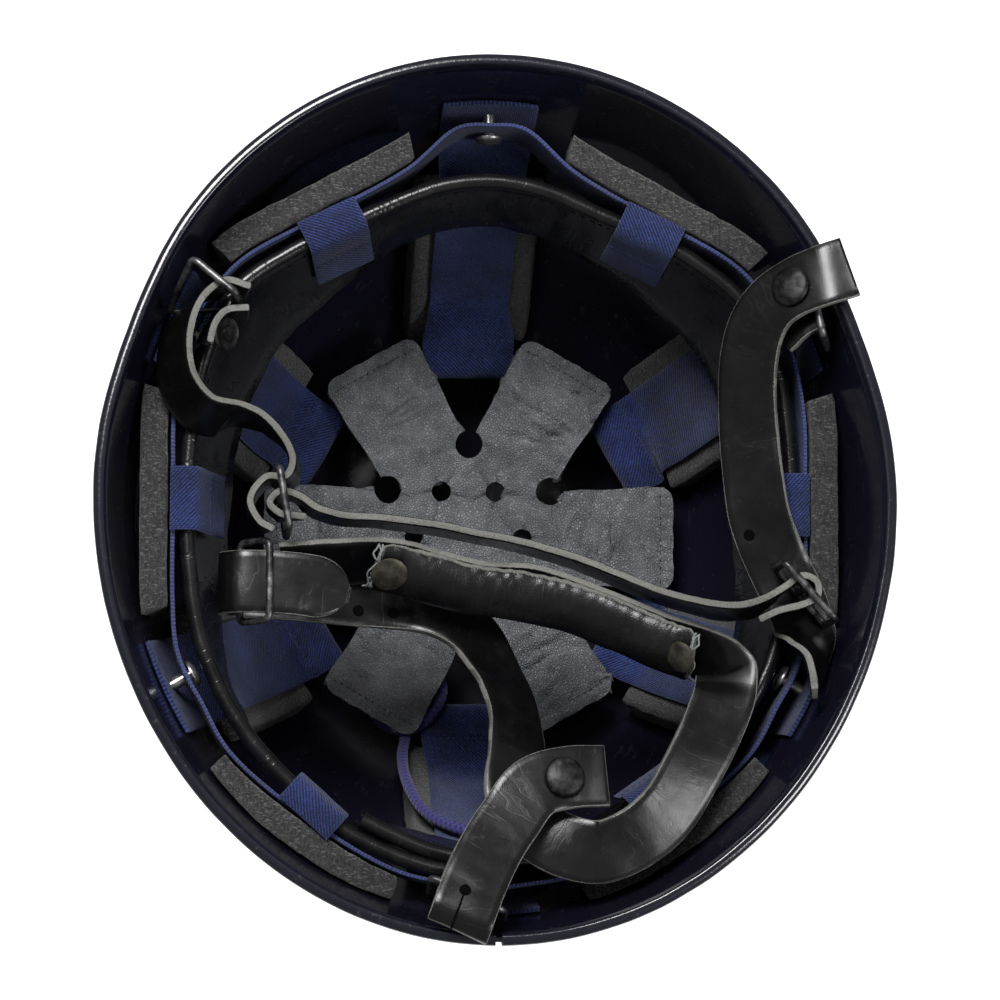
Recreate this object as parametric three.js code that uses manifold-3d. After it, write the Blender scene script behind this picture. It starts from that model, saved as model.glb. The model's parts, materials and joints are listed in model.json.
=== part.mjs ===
// Combat helmet with its webbing liner and leather chin harness, lying on its crown.
// Millimetres. +Z up, so the opening faces up; +Y is the front of the helmet.
// The origin is the middle of the small flat at the crown that the helmet rests on.
import * as THREE from 'three';
import * as BufferGeometryUtils from 'three/addons/utils/BufferGeometryUtils.js';
import Module from 'manifold-3d';

const wasm = await Module();
wasm.setup();

// Driving dimensions
const shell = {
  length: 282.8, width: 252.8, depth: 167.2, wall: 1.4, flatShare: 0.1, fullness: 2.2,
  flare: 0.06, flareFrom: 0.66, frontRise: 4, earDent: 1.8, earAngle: 24, earSpread: 14,
  around: 48, levels: 12,
};
const rim = { metal: 0.6, gap: 0.45, drop: 4.2, seam: 0.4 };
const ring = { low: 121, high: 141, thickness: 1.4, fixingInset: 7.2, steps: 54 };
const fixing = { height: 130, hole: 2.7, shank: 2, head: 4.6, headThickness: 1.6, sides: 10 };
const rimPad = { low: 117, high: 142, half: 34, thickness: 9.5, wallGap: 1, gap: 0.8 };
const crownPad = { lowReach: 75, high: 92, halfWidth: 23.5, thickness: 9, gap: 1 };
const crownStrap = { width: 32, thickness: 1.4 };
const headLoop = { width: 20.5, thickness: 1.4, clear: 0.9, over: 144.2 };
const headband = { topHeight: 139, lowHeight: 104, thickness: 2, bead: 2.6, steps: 54 };
const star = {
  fingers: 6, reach: 71, root: 32.5, halfRoot: 16.2, halfTip: 18, corner: 7,
  notch: 4.8, hole: 3.4, holeRing: 18.8, thickness: 2, height: 50,
};
const lace = { radius: 1.9, ringRadius: 64, ringHeight: 39, steps: 80 };
const leather = { width: 20, beltWidth: 15, thickness: 2.6 };
const wire = 1.2;

const paint = new THREE.MeshStandardMaterial({ color: 0x0b0c16, roughness: 0.15, metalness: 0.2 });
const steel = new THREE.MeshStandardMaterial({ color: 0x5a5a5c, roughness: 0.35, metalness: 1 });
const webbing = new THREE.MeshStandardMaterial({ color: 0x1a2a6c, roughness: 0.9 });
const felt = new THREE.MeshStandardMaterial({ color: 0x34332f, roughness: 1 });
const blackLeather = new THREE.MeshStandardMaterial({ color: 0x17171a, roughness: 0.5 });
const greyLeather = new THREE.MeshStandardMaterial({ color: 0x6f7076, roughness: 0.6 });
const cord = new THREE.MeshStandardMaterial({ color: 0x2a2a8c, roughness: 0.9 });

const helmet = new THREE.Group();
const turn = THREE.MathUtils.degToRad;
const vector = (x, y, z) => new THREE.Vector3(x, y, z);
const range = (count) => Array.from({ length: count }, (_, index) => index);

function add(name, geometry, material) {
  const mesh = new THREE.Mesh(geometry, material);
  mesh.name = name;
  helmet.add(mesh);
  return mesh;
}

// Closed bodies from rings of points
function endCap(points, first, facingBack) {
  const normal = vector(0, 0, 0);
  const middle = vector(0, 0, 0);
  points.forEach((point) => middle.addScaledVector(point, 1 / points.length));
  points.forEach((point, index) => {
    const next = points[(index + 1) % points.length];
    normal.add(point.clone().sub(middle).cross(next.clone().sub(middle)));
  });
  normal.normalize();
  const side = points[0].clone().sub(middle).normalize();
  const other = normal.clone().cross(side);
  const flat = points.map((point) => {
    const offset = point.clone().sub(middle);
    return new THREE.Vector2(offset.dot(side), offset.dot(other));
  });
  return THREE.ShapeUtils.triangulateShape(flat, []).flatMap((face) => {
    const [a, b, c] = [...face].sort((one, two) => one - two);
    return facingBack ? [first + a, first + c, first + b] : [first + a, first + b, first + c];
  });
}

function volume(positions, faces) {
  const corner = (index) => vector(...positions.slice(3 * index, 3 * index + 3));
  let total = 0;
  for (let face = 0; face < faces.length; face += 3) {
    total += corner(faces[face]).dot(corner(faces[face + 1]).cross(corner(faces[face + 2])));
  }
  return total / 6;
}

function skin(rings, joined = false) {
  const count = rings[0].length;
  const positions = rings.flat().flatMap((point) => point.toArray());
  const faces = [];
  const last = joined ? rings.length : rings.length - 1;
  for (let row = 0; row < last; row += 1) {
    const here = row * count;
    const next = ((row + 1) % rings.length) * count;
    for (let index = 0; index < count; index += 1) {
      const beside = (index + 1) % count;
      faces.push(here + index, next + index, next + beside);
      faces.push(here + index, next + beside, here + beside);
    }
  }
  if (!joined) {
    faces.push(...endCap(rings[0], 0, false));
    faces.push(...endCap(rings[rings.length - 1], (rings.length - 1) * count, true));
  }
  if (volume(positions, faces) < 0) {
    for (let face = 0; face < faces.length; face += 3) {
      [faces[face], faces[face + 1]] = [faces[face + 1], faces[face]];
    }
  }
  const geometry = new THREE.BufferGeometry();
  geometry.setAttribute('position', new THREE.Float32BufferAttribute(positions, 3));
  geometry.setIndex(faces);
  return geometry;
}

function sweep(frames, profile, joined = false) {
  return skin(frames.map(({ at, across, rise }) => profile.map(([x, y]) => (
    at.clone().addScaledVector(across, x).addScaledVector(rise, y)
  ))), joined);
}

function flatProfile(width, thickness) {
  const x = width / 2;
  const y = thickness / 2;
  return [[-x, -y], [x, -y], [x, y], [-x, y]];
}

function roundProfile(radius, sides, stretch = 1) {
  return range(sides).map((side) => {
    const angle = (side + 0.5) * 2 * Math.PI / sides;
    return [radius * stretch * Math.cos(angle), radius * Math.sin(angle)];
  });
}

// Frames along a route: each row has its place and, for flat pieces, which way its width points
function routeFrames(rows, steps, { hold = 0, joined = false, width = leather.width } = {}) {
  const line = new THREE.CatmullRomCurve3(rows.map(([x, y, z]) => vector(x, y, z)), joined);
  const lean = new THREE.CatmullRomCurve3(rows.map(([, , , bearing = 0, dip = 0]) => vector(
    Math.cos(turn(dip)) * Math.cos(turn(bearing)),
    Math.cos(turn(dip)) * Math.sin(turn(bearing)),
    -Math.sin(turn(dip)),
  )), joined);
  return range(joined ? steps : steps + 1).map((step) => {
    const share = step / steps;
    const tangent = line.getTangent(share);
    const rise = tangent.clone().cross(lean.getPoint(share)).normalize();
    const across = rise.clone().cross(tangent).normalize();
    const at = line.getPoint(share).addScaledVector(across, hold * width);
    return { at, across, rise };
  });
}

// A flat strap; a tip length rounds its far end
function strap(name, rows, steps, { hold = 0, width = leather.width, tip = 0 } = {}) {
  const frames = routeFrames(rows, steps, { hold, width });
  const lengths = frames.map(({ at }, index) => at.distanceTo(frames[Math.max(index - 1, 0)].at));
  const total = lengths.reduce((sum, length) => sum + length, 0);
  let run = 0;
  const rings = frames.map(({ at, across, rise }, index) => {
    run += lengths[index];
    const inTip = tip > 0 ? Math.max(0, 1 - (total - run) / tip) : 0;
    const breadth = width * Math.max(0.25, Math.sqrt(1 - inTip ** 2));
    return flatProfile(breadth, leather.thickness).map(([x, y]) => (
      at.clone().addScaledVector(across, x).addScaledVector(rise, y)
    ));
  });
  add(name, skin(rings), blackLeather);
  return frames;
}

function merged(geometry) {
  const plain = geometry.clone();
  plain.deleteAttribute('normal');
  plain.deleteAttribute('uv');
  return BufferGeometryUtils.mergeVertices(plain, 1e-4);
}

function asSolid(geometry) {
  const plain = merged(geometry);
  return new wasm.Manifold(new wasm.Mesh({
    numProp: 3,
    vertProperties: new Float32Array(plain.attributes.position.array),
    triVerts: new Uint32Array(plain.index.array),
  }));
}

function asGeometry(solid) {
  const { vertProperties, triVerts } = solid.getMesh();
  const geometry = new THREE.BufferGeometry();
  geometry.setAttribute('position', new THREE.BufferAttribute(new Float32Array(vertProperties), 3));
  geometry.setIndex(new THREE.BufferAttribute(new Uint32Array(triVerts), 1));
  return geometry;
}

function joinedSolids(geometries) {
  return asGeometry(geometries.map(asSolid).reduce((whole, next) => whole.add(next)));
}

function cutFrom(geometry, cutters) {
  return asGeometry(cutters.map(asSolid).reduce((whole, next) => whole.subtract(next), asSolid(geometry)));
}

// The shell's outer surface: an oval plan carried up a full dome that flares at the lip
function rimRadius(angle) {
  const [across, along] = [shell.width / 2, shell.length / 2];
  const oval = across * along / Math.hypot(along * Math.cos(angle), across * Math.sin(angle));
  const ahead = THREE.MathUtils.radToDeg(Math.atan2(Math.sin(angle), Math.abs(Math.cos(angle))));
  const dent = Math.exp(-(((ahead - shell.earAngle) / shell.earSpread) ** 2));
  return oval - shell.earDent * dent;
}

function rimHeight(angle) {
  return shell.depth - shell.frontRise * Math.max(0, Math.sin(angle)) ** 2;
}

function spread(level) {
  const dome = (1 - (1 - level) ** shell.fullness) ** (1 / shell.fullness);
  const lip = Math.max(0, (level - shell.flareFrom) / (1 - shell.flareFrom)) ** 1.6;
  return (1 - shell.flare) * dome + shell.flare * lip;
}

const flatLevel = 1 - (1 - (shell.flatShare / (1 - shell.flare)) ** shell.fullness) ** (1 / shell.fullness);

function outerPoint(angle, level) {
  const reach = rimRadius(angle) * spread(level);
  const height = rimHeight(angle) * (level - flatLevel) / (1 - flatLevel);
  return vector(reach * Math.cos(angle), reach * Math.sin(angle), height);
}

function shellFrame(angle, level) {
  const step = 1e-3;
  const higher = Math.min(level + step, 1);
  const along = outerPoint(angle + step, level).sub(outerPoint(angle - step, level)).normalize();
  const up = outerPoint(angle, higher).sub(outerPoint(angle, higher - step)).normalize();
  const outward = along.clone().cross(up).normalize();
  return { at: outerPoint(angle, level), along, up, outward };
}

// A point inside the shell, at an offset from its inner face
function insidePoint(angle, height, offset) {
  const level = flatLevel + (1 - flatLevel) * height / rimHeight(angle);
  const { at, outward } = shellFrame(angle, level);
  return at.addScaledVector(outward, -(shell.wall + offset));
}

function insideRadius(angle, height) {
  const point = insidePoint(angle, height, 0);
  return Math.hypot(point.x, point.y);
}

function addShell() {
  const first = Math.acos((1 - flatLevel) ** (shell.fullness / 2));
  const levels = range(shell.levels + 1).map((index) => {
    const angle = first + (Math.PI / 2 - first) * index / shell.levels;
    return 1 - Math.cos(angle) ** (2 / shell.fullness);
  });
  const ringAt = (level, offset) => range(shell.around).map((index) => {
    const { at, outward } = shellFrame(2 * Math.PI * index / shell.around, level);
    return at.addScaledVector(outward, -offset);
  });
  const floor = ringAt(flatLevel, 0).map((point) => vector(point.x, point.y, shell.wall));
  const outer = levels.map((level) => ringAt(level, 0));
  const inner = levels.slice(1).map((level) => ringAt(level, shell.wall));
  add('shell', skin([...outer, ...inner.reverse(), floor]), paint);
}

// A folded steel strip grips the edge all round, with its seam at the rear
function addRimStrip() {
  const { metal, gap, drop } = rim;
  const outside = gap + metal;
  const inside = -shell.wall - gap;
  const profile = [
    [outside, -drop], [outside, outside], [inside - metal, outside], [inside - metal, -drop],
    [inside, -drop], [inside, gap], [gap, gap], [gap, -drop],
  ];
  const start = -90 + rim.seam;
  const sweepAngle = 360 - 2 * rim.seam;
  const frames = range(shell.around + 1).map((index) => {
    const angle = turn(start + sweepAngle * index / shell.around);
    const { at, outward, up } = shellFrame(angle, 1);
    return { at, across: outward, rise: up };
  });
  add('rim_strip', sweep(frames, profile), paint);
}

// Six places round the liner: fixings at 30, 90, ... degrees, loops and rim pads between them
const fixingAngles = range(6).map((index) => 30 + 60 * index);
const padInsets = { 0: 17, 60: 22, 120: 22, 180: 17, 240: 12, 300: 12 };
const ringEdgeGap = 4.5;
const padAngles = Object.keys(padInsets).map(Number);

function ringRadius(angle) {
  return insideRadius(turn(angle), ring.high) - padInsets[angle];
}

function ringPath() {
  return padAngles.flatMap((angle) => {
    const middle = ringRadius(angle);
    const flat = [-16, 0, 16].map((offset) => {
      const limit = insideRadius(turn(angle + offset), ring.low) - ringEdgeGap;
      return [Math.min(middle / Math.cos(turn(offset)), limit), angle + offset];
    });
    const held = [25, 30, 35].map((offset) => {
      const inset = ring.fixingInset + (offset === 30 ? 0 : 0.5);
      return [insideRadius(turn(angle + offset), fixing.height) - inset, angle + offset];
    });
    return [...flat, ...held].map(([radius, bearing]) => (
      vector(radius * Math.cos(turn(bearing)), radius * Math.sin(turn(bearing)), 0)
    ));
  });
}

function fixingPlace(angle) {
  const bearing = turn(angle);
  const outward = vector(Math.cos(bearing), Math.sin(bearing), 0);
  const radius = insideRadius(bearing, fixing.height);
  return { outward, radius, along: vector(-Math.sin(bearing), Math.cos(bearing), 0) };
}

function turnedTo(geometry, outward, at) {
  const spin = new THREE.Quaternion().setFromUnitVectors(vector(0, 0, 1), outward);
  return geometry.applyQuaternion(spin).translate(at.x, at.y, at.z);
}

function fixingHole(angle) {
  const { outward, radius } = fixingPlace(angle);
  const drill = new THREE.CylinderGeometry(fixing.hole, fixing.hole, 24, 8).rotateX(Math.PI / 2);
  const at = outward.clone().multiplyScalar(radius - 4).setZ(fixing.height);
  return turnedTo(drill, outward, at);
}

const ringCurve = new THREE.CatmullRomCurve3(ringPath(), true);
const ringSpots = ringCurve.getPoints(720);

function ringReach(bearing) {
  const off = (spot) => Math.abs(Math.sin((Math.atan2(spot.y, spot.x) - bearing) / 2));
  return ringSpots.reduce((best, spot) => (off(spot) < off(best) ? spot : best)).length();
}

function addRing() {
  const { steps } = ring;
  const height = ring.high - ring.low;
  const frames = range(steps).map((step) => {
    const at = ringCurve.getPoint(step / steps).setZ((ring.low + ring.high) / 2);
    const rise = ringCurve.getTangent(step / steps).cross(vector(0, 0, 1));
    return { at, across: vector(0, 0, 1), rise };
  });
  const band = sweep(frames, flatProfile(height, ring.thickness), true);
  add('ring_webbing', cutFrom(band, fixingAngles.map(fixingHole)), webbing);
}

function addFixings() {
  fixingAngles.forEach((angle) => {
    const { outward, radius } = fixingPlace(angle);
    const reach = ring.fixingInset + ring.thickness / 2 + 1.3;
    const { shank, head, headThickness, sides } = fixing;
    const profile = [[0, -1.2], [shank, -1.2], [shank, -reach], [head, -reach],
      [head, -reach - headThickness], [0, -reach - headThickness - 0.6]];
    const points = profile.map(([x, y]) => new THREE.Vector2(x, y));
    const stud = new THREE.LatheGeometry(points.reverse(), sides).rotateX(Math.PI / 2);
    const at = outward.clone().multiplyScalar(radius).setZ(fixing.height);
    add(`liner_stud_${angle}`, merged(turnedTo(stud, outward, at)), steel);
  });
}

// Felt blocks between the ring and the shell, trimmed where the shell curves in
function addRimPads() {
  padAngles.forEach((angle) => {
    const spot = (bearing, reach, height) => (
      vector(reach * Math.cos(bearing), reach * Math.sin(bearing), height)
    );
    const rings = range(9).map((step) => {
      const bearing = turn(angle) + Math.atan(rimPad.half / ringRadius(angle)) * (step / 4 - 1);
      const near = ringReach(bearing) + ring.thickness / 2 + rimPad.gap;
      const { low, high } = rimPad;
      const far = (height) => {
        const limit = insideRadius(bearing, height) - rimPad.wallGap;
        return Math.min(near + rimPad.thickness, limit);
      };
      return [spot(bearing, near, low), spot(bearing, far(low), low),
        spot(bearing, far(high), high), spot(bearing, near, high)];
    });
    add(`rim_pad_${angle}`, skin(rings), felt);
  });
}

// The height up the shell at which an offset from its inner face has a given reach
function heightAt(bearing, offset, reach) {
  let [low, high] = [5, 120];
  range(24).forEach(() => {
    const middle = (low + high) / 2;
    const point = insidePoint(bearing, middle, offset);
    if (Math.hypot(point.x, point.y) < reach) low = middle;
    else high = middle;
  });
  return low;
}

// Pads on the crown, and the straps that run over them from the fixings to the lace
function addCrownPads() {
  fixingAngles.forEach((angle) => {
    const thick = crownPad.gap + crownPad.thickness;
    const low = heightAt(turn(angle), thick, crownPad.lowReach);
    const rings = range(6).map((step) => {
      const height = low + (crownPad.high - low) * step / 5;
      const radius = insideRadius(turn(angle), height);
      const place = (share, offset) => {
        const bearing = turn(angle) + Math.asin(share * crownPad.halfWidth / radius);
        return insidePoint(bearing, height, offset);
      };
      return [place(-1, crownPad.gap), place(0, crownPad.gap), place(1, crownPad.gap),
        place(1, thick), place(0, thick), place(-1, thick)];
    });
    add(`crown_pad_${angle}`, skin(rings), felt);
  });
}

const crownRoute = [
  { height: 138, offset: 1.3 }, { height: 129, offset: 1.3 }, { height: 120, offset: 1.3 },
  { height: 111, offset: 3.4 }, { height: 103, offset: 8.4 }, { height: 96, offset: 11.6 },
  { height: 84, offset: 11.8 }, { height: 72, offset: 11.8 }, { height: 61, offset: 11.8 },
  { height: 50, offset: 11.8 }, { height: 39, offset: 11.8 },
];
// The end turns under to make a hem round the lace
const crownHem = [
  { reach: 70, height: 45.2 }, { reach: 66, height: 43 }, { reach: 61.4, height: 42.2 },
  { reach: 59, height: 41 }, { reach: 58.2, height: 39 }, { reach: 59, height: 36.9 },
  { reach: 61.4, height: 35.8 }, { reach: 65.4, height: 35.6 },
];

function addCrownStraps() {
  const { width, thickness } = crownStrap;
  fixingAngles.forEach((angle) => {
    const bearing = turn(angle);
    const outward = vector(Math.cos(bearing), Math.sin(bearing), 0);
    const along = vector(-Math.sin(bearing), Math.cos(bearing), 0);
    const cornersOf = (place) => [
      place(-1, -1), place(0, -1), place(1, -1), place(1, 1), place(0, 1), place(-1, 1),
    ];
    const draped = crownRoute.map(({ height, offset }) => {
      const radius = insideRadius(bearing, height);
      return cornersOf((share, side) => insidePoint(
        bearing + Math.asin(share * width / 2 / radius), height, offset + side * thickness / 2,
      ));
    });
    const hem = crownHem.map(({ reach, height }, index) => {
      const before = crownHem[Math.max(index - 1, 0)];
      const after = crownHem[Math.min(index + 1, crownHem.length - 1)];
      const slope = Math.atan2(before.reach - after.reach, after.height - before.height);
      return cornersOf((share, side) => (
        outward.clone().multiplyScalar(reach + side * thickness / 2 * Math.cos(slope))
          .addScaledVector(along, share * width / 2)
          .setZ(height + side * thickness / 2 * Math.sin(slope))
      ));
    });
    const body = skin([...draped, ...hem]);
    add(`crown_strap_${angle}`, cutFrom(body, [fixingHole(angle)]), webbing);
  });
}

// The leather headband, a sloping band with a bead along its top: its reach by bearing.
// Its first end lies inside its last one at the rear.
const bandRows = [
  { bearing: -112, top: 110.2, low: 105.4 }, { bearing: -107, top: 111.4, low: 106.4 },
  { bearing: -99, top: 113.8, low: 107.6 }, { bearing: -90, top: 114.8, low: 108.6 },
  { bearing: -80, top: 114.6, low: 109 }, { bearing: -70, top: 111.6, low: 107.6 },
  { bearing: -61, top: 107.6, low: 104.6 }, { bearing: -45, top: 107, low: 101 },
  { bearing: -29, top: 104, low: 95.4 }, { bearing: -13, top: 99.4, low: 88 },
  { bearing: 0, top: 98, low: 84 }, { bearing: 13, top: 99.6, low: 85.6 },
  { bearing: 28, top: 104.4, low: 89.5 }, { bearing: 39, top: 106.6, low: 91.4 },
  { bearing: 50, top: 104.6, low: 92 }, { bearing: 60, top: 102.6, low: 93 },
  { bearing: 70, top: 102, low: 95 }, { bearing: 82, top: 105, low: 98 },
  { bearing: 90, top: 106, low: 99 }, { bearing: 98, top: 105.4, low: 98 },
  { bearing: 110, top: 102.6, low: 94.6 }, { bearing: 120, top: 102.2, low: 91 },
  { bearing: 130, top: 104.6, low: 88.8 }, { bearing: 141, top: 107.4, low: 88.2 },
  { bearing: 153, top: 104, low: 86 }, { bearing: 167, top: 99.4, low: 84.6 },
  { bearing: 180, top: 98, low: 84 }, { bearing: 193, top: 99.4, low: 88.2 },
  { bearing: 208, top: 104, low: 97.4 }, { bearing: 224, top: 108.4, low: 104.8 },
  { bearing: 236, top: 111.4, low: 108.4 }, { bearing: 245, top: 115.2, low: 110.6 },
  { bearing: 252, top: 117, low: 111.4 }, { bearing: 260, top: 118.8, low: 111.8 },
  { bearing: 268, top: 119.8, low: 111.8 },
];
const bandCurve = new THREE.CatmullRomCurve3(bandRows.map(({ bearing, top, low }) => (
  vector(bearing, top, low)
)));
const bandSpots = bandCurve.getPoints(900);

// A place on the headband, how far down it is, and which way it faces
function bandPlace(degrees, down = 0, out = 0) {
  const plain = (bearing) => {
    const spot = bandSpots.find(({ x }) => x >= bearing) ?? bandSpots[bandSpots.length - 1];
    const reach = spot.y + (spot.z - spot.y) * down;
    const height = headband.topHeight + (headband.lowHeight - headband.topHeight) * down;
    return vector(reach * Math.cos(turn(bearing)), reach * Math.sin(turn(bearing)), height);
  };
  const here = plain(degrees);
  const along = plain(degrees + 1.5).sub(plain(degrees - 1.5)).normalize();
  const outward = along.clone().cross(vector(0, 0, 1)).normalize();
  return here.addScaledVector(outward, out);
}

function addHeadband() {
  const { thickness, bead, steps, topHeight, lowHeight } = headband;
  const rings = range(steps + 1).map((step) => {
    const { x: bearing } = bandCurve.getPointAt(step / steps);
    const top = bandPlace(bearing);
    const slope = bandPlace(bearing, 1).sub(top);
    const reach = slope.length();
    const down = slope.normalize();
    const outside = bandPlace(bearing, 0, 1).sub(top);
    const out = outside.addScaledVector(down, -outside.dot(down)).normalize();
    const at = (x, y) => top.clone().addScaledVector(down, x).addScaledVector(out, y);
    const half = thickness / 2;
    const rounded = range(6).map((index) => {
      const around = turn(-150 + 60 * index);
      return at(-bead * Math.cos(around), bead * Math.sin(around));
    });
    return [...rounded, at(reach, half), at(reach, -half)];
  });
  add('headband', skin(rings), blackLeather);
}

// Webbing loops that carry the headband from the ring, over the bead and down the inner face
function addHeadLoops() {
  const { bead, thickness, topHeight, lowHeight } = headband;
  padAngles.forEach((angle) => {
    const bearing = angle > 268 ? angle - 360 : angle;
    const middle = bandPlace(bearing).setZ(0);
    const outward = bandPlace(bearing, 0, 1).setZ(0).sub(middle);
    const along = outward.clone().cross(vector(0, 0, -1));
    const ringGap = ringRadius(angle) - middle.length();
    const face = (height) => {
      const down = (topHeight - height) / (topHeight - lowHeight);
      const inner = bandPlace(bearing, down).setZ(0).sub(middle).dot(outward);
      return inner - thickness / 2 - headLoop.clear - headLoop.thickness / 2;
    };
    const path = [
      [ringGap + 0.6, headLoop.over - 1.2], [0.6, headLoop.over - 0.2], [-bead, headLoop.over - 1],
      [-bead - 2, 139.5], [face(133) - 1.6, 133], [face(127) - 1.7, 127], [face(120) - 1.7, 120],
    ];
    const line = new THREE.CatmullRomCurve3(path.map(([reach, height]) => (
      middle.clone().addScaledVector(outward, reach).setZ(height)
    )));
    const steps = 11;
    const frames = range(steps + 1).map((step) => {
      const rise = along.clone().cross(line.getTangent(step / steps)).normalize();
      return { at: line.getPoint(step / steps), across: along, rise };
    });
    add(`head_loop_${angle}`, sweep(frames, flatProfile(headLoop.width, headLoop.thickness)), webbing);
  });
}

// The crown pad of grey leather: six fingers, a notch hole between each pair, a ring of small holes
function addStar() {
  const shape = new THREE.Shape();
  const { fingers, reach, root, halfRoot, halfTip, corner, notch } = star;
  const outline = range(fingers).flatMap((finger) => {
    const bearing = turn(60 * finger);
    const spot = (x, y) => new THREE.Vector2(
      x * Math.cos(bearing) - y * Math.sin(bearing),
      x * Math.sin(bearing) + y * Math.cos(bearing),
    );
    const halfMiddle = (halfRoot + halfTip) / 2 + 0.4;
    const start = root * Math.cos(turn(30)) + notch;
    const rounded = (side) => [0, 45, 90].map((angle) => spot(
      reach - corner * (1 - Math.sin(turn(angle))),
      side * (halfTip - corner * (1 - Math.cos(turn(angle)))),
    ));
    const arc = range(6).map((index) => {
      const angle = turn(60 * finger + 335 - 50 * index);
      const centre = turn(60 * finger + 30);
      return new THREE.Vector2(
        root * Math.cos(centre) + notch * Math.cos(angle),
        root * Math.sin(centre) + notch * Math.sin(angle),
      );
    });
    return [
      spot(start, -halfRoot), spot((start + reach) / 2, -halfMiddle), ...rounded(-1),
      spot(reach + 0.8, 0), ...rounded(1).reverse(), spot((start + reach) / 2, halfMiddle),
      spot(start, halfRoot), ...arc,
    ];
  });
  shape.setFromPoints(outline);
  range(fingers).forEach((index) => {
    const hole = new THREE.Path();
    const bearing = turn(60 * index);
    hole.absarc(
      star.holeRing * Math.cos(bearing), star.holeRing * Math.sin(bearing),
      star.hole, 0, 2 * Math.PI, true,
    );
    shape.holes.push(hole);
  });
  const slab = merged(new THREE.ExtrudeGeometry(shape, {
    depth: star.thickness, bevelEnabled: false, curveSegments: 8,
  }));
  slab.translate(0, 0, star.height);
  add('crown_star', slab, greyLeather);
}

// The lace runs through the hems of the six crown straps. Its spare length makes a loop
// under one finger of the star, hangs out at the rear, and goes back under the next finger.
function addLace() {
  const tied = range(16).map((index) => {
    const bearing = turn(228 - 22 * index);
    return [lace.ringRadius * Math.cos(bearing), lace.ringRadius * Math.sin(bearing), lace.ringHeight];
  });
  // x, y, z
  const bow = [
    [-18.6, -61.2, 39], [-24.5, -58, 38.8], [-28.5, -53, 38.8], [-26.5, -45.5, 40.4],
    [-20, -41.5, 43], [-13, -44.5, 43.2], [-9, -50.5, 43.6], [-9.8, -57, 45.4],
    [-14.2, -63, 46.4], [-20, -66.6, 43.8], [-26.4, -66, 42.4], [-32, -61.6, 42.8],
    [-34.4, -55.6, 43.8], [-31, -50.4, 44.8], [-25.4, -52, 45.8], [-21.6, -58, 46.8],
    [-21.2, -65, 47.2], [-22, -70.4, 47.8], [-23.2, -76.6, 54.5], [-22.4, -86, 68],
    [-18, -95.6, 80], [-11, -101, 88], [-3, -103.6, 93], [4, -104, 95.5],
    [10, -100.5, 92], [12.6, -93, 82.5], [12.8, -84, 71], [13.4, -75, 58.6],
    [13.4, -68, 50.4], [14.6, -62.4, 46.8], [18.8, -57.8, 46.4], [24, -55.6, 46], [29, -54.8, 45.6],
  ];
  const frames = routeFrames([...tied, ...bow].map(([x, y, z]) => [x, y, z, 0, 90]), lace.steps);
  add('lace', sweep(frames, roundProfile(lace.radius, 8)), cord);
}

// Wire and stud hardware
function wireThrough(corners, bend = 2.6) {
  const spots = corners.map((corner) => vector(...corner));
  const middle = spots.reduce((sum, spot) => sum.addScaledVector(spot, 1 / spots.length), vector(0, 0, 0));
  const facing = spots[0].clone().sub(middle).cross(spots[1].clone().sub(middle)).normalize();
  const path = spots.flatMap((spot, index) => {
    const before = spots[(index + spots.length - 1) % spots.length];
    const after = spots[(index + 1) % spots.length];
    const start = spot.clone().addScaledVector(before.clone().sub(spot).normalize(), bend);
    const end = spot.clone().addScaledVector(after.clone().sub(spot).normalize(), bend);
    const curve = new THREE.QuadraticBezierCurve3(start, spot, end);
    return [0, 0.5, 1].map((share) => curve.getPoint(share));
  });
  const frames = path.map((at, index) => {
    const before = path[(index + path.length - 1) % path.length];
    const after = path[(index + 1) % path.length];
    const across = after.clone().sub(before).cross(facing).normalize();
    return { at, across, rise: facing };
  });
  return sweep(frames, roundProfile(wire, 6), true);
}

function wireLoop(length, height) {
  const [x, y] = [length / 2, height / 2];
  return wireThrough([[x, y, 0], [-x, y, 0], [-x, -y, 0], [x, -y, 0]]);
}

function rod(length, radius = wire) {
  return new THREE.CylinderGeometry(radius, radius, length, 8);
}

// A frame standing on edge: its length along a bearing, its height up, its bar at a share of it
function addBuckle(name, { from, to, top, height, bar }) {
  const start = vector(from[0], from[1], 0);
  const run = vector(to[0], to[1], 0).sub(start);
  const length = run.length();
  const post = rod(height - 0.4).translate((bar - 0.5) * length, 0, 0);
  const frame = joinedSolids([wireLoop(length, height), post]);
  const bearing = Math.atan2(run.y, run.x);
  frame.rotateX(Math.PI / 2).rotateZ(bearing);
  const middle = start.addScaledVector(run, 0.5);
  frame.translate(middle.x, middle.y, top - height / 2);
  add(name, frame, steel);
}

// A domed stud head on the upper face of a strap
function addStud(name, { at, across, rise }, { radius = 6.5, height = 2.4, offset = 0, lift = 0.7 } = {}) {
  const up = rise.z < 0 ? rise.clone().negate() : rise.clone();
  const points = [[0, 0], [radius * 0.9, 0], [radius, height * 0.5], [radius * 0.6, height], [0, height]];
  const profile = points.map(([x, y]) => new THREE.Vector2(x, y));
  const head = new THREE.LatheGeometry(profile, 12).rotateX(Math.PI / 2);
  const foot = at.clone().addScaledVector(across, offset).addScaledVector(up, leather.thickness / 2 + lift);
  add(name, merged(turnedTo(head, up, foot)), steel);
}

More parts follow.
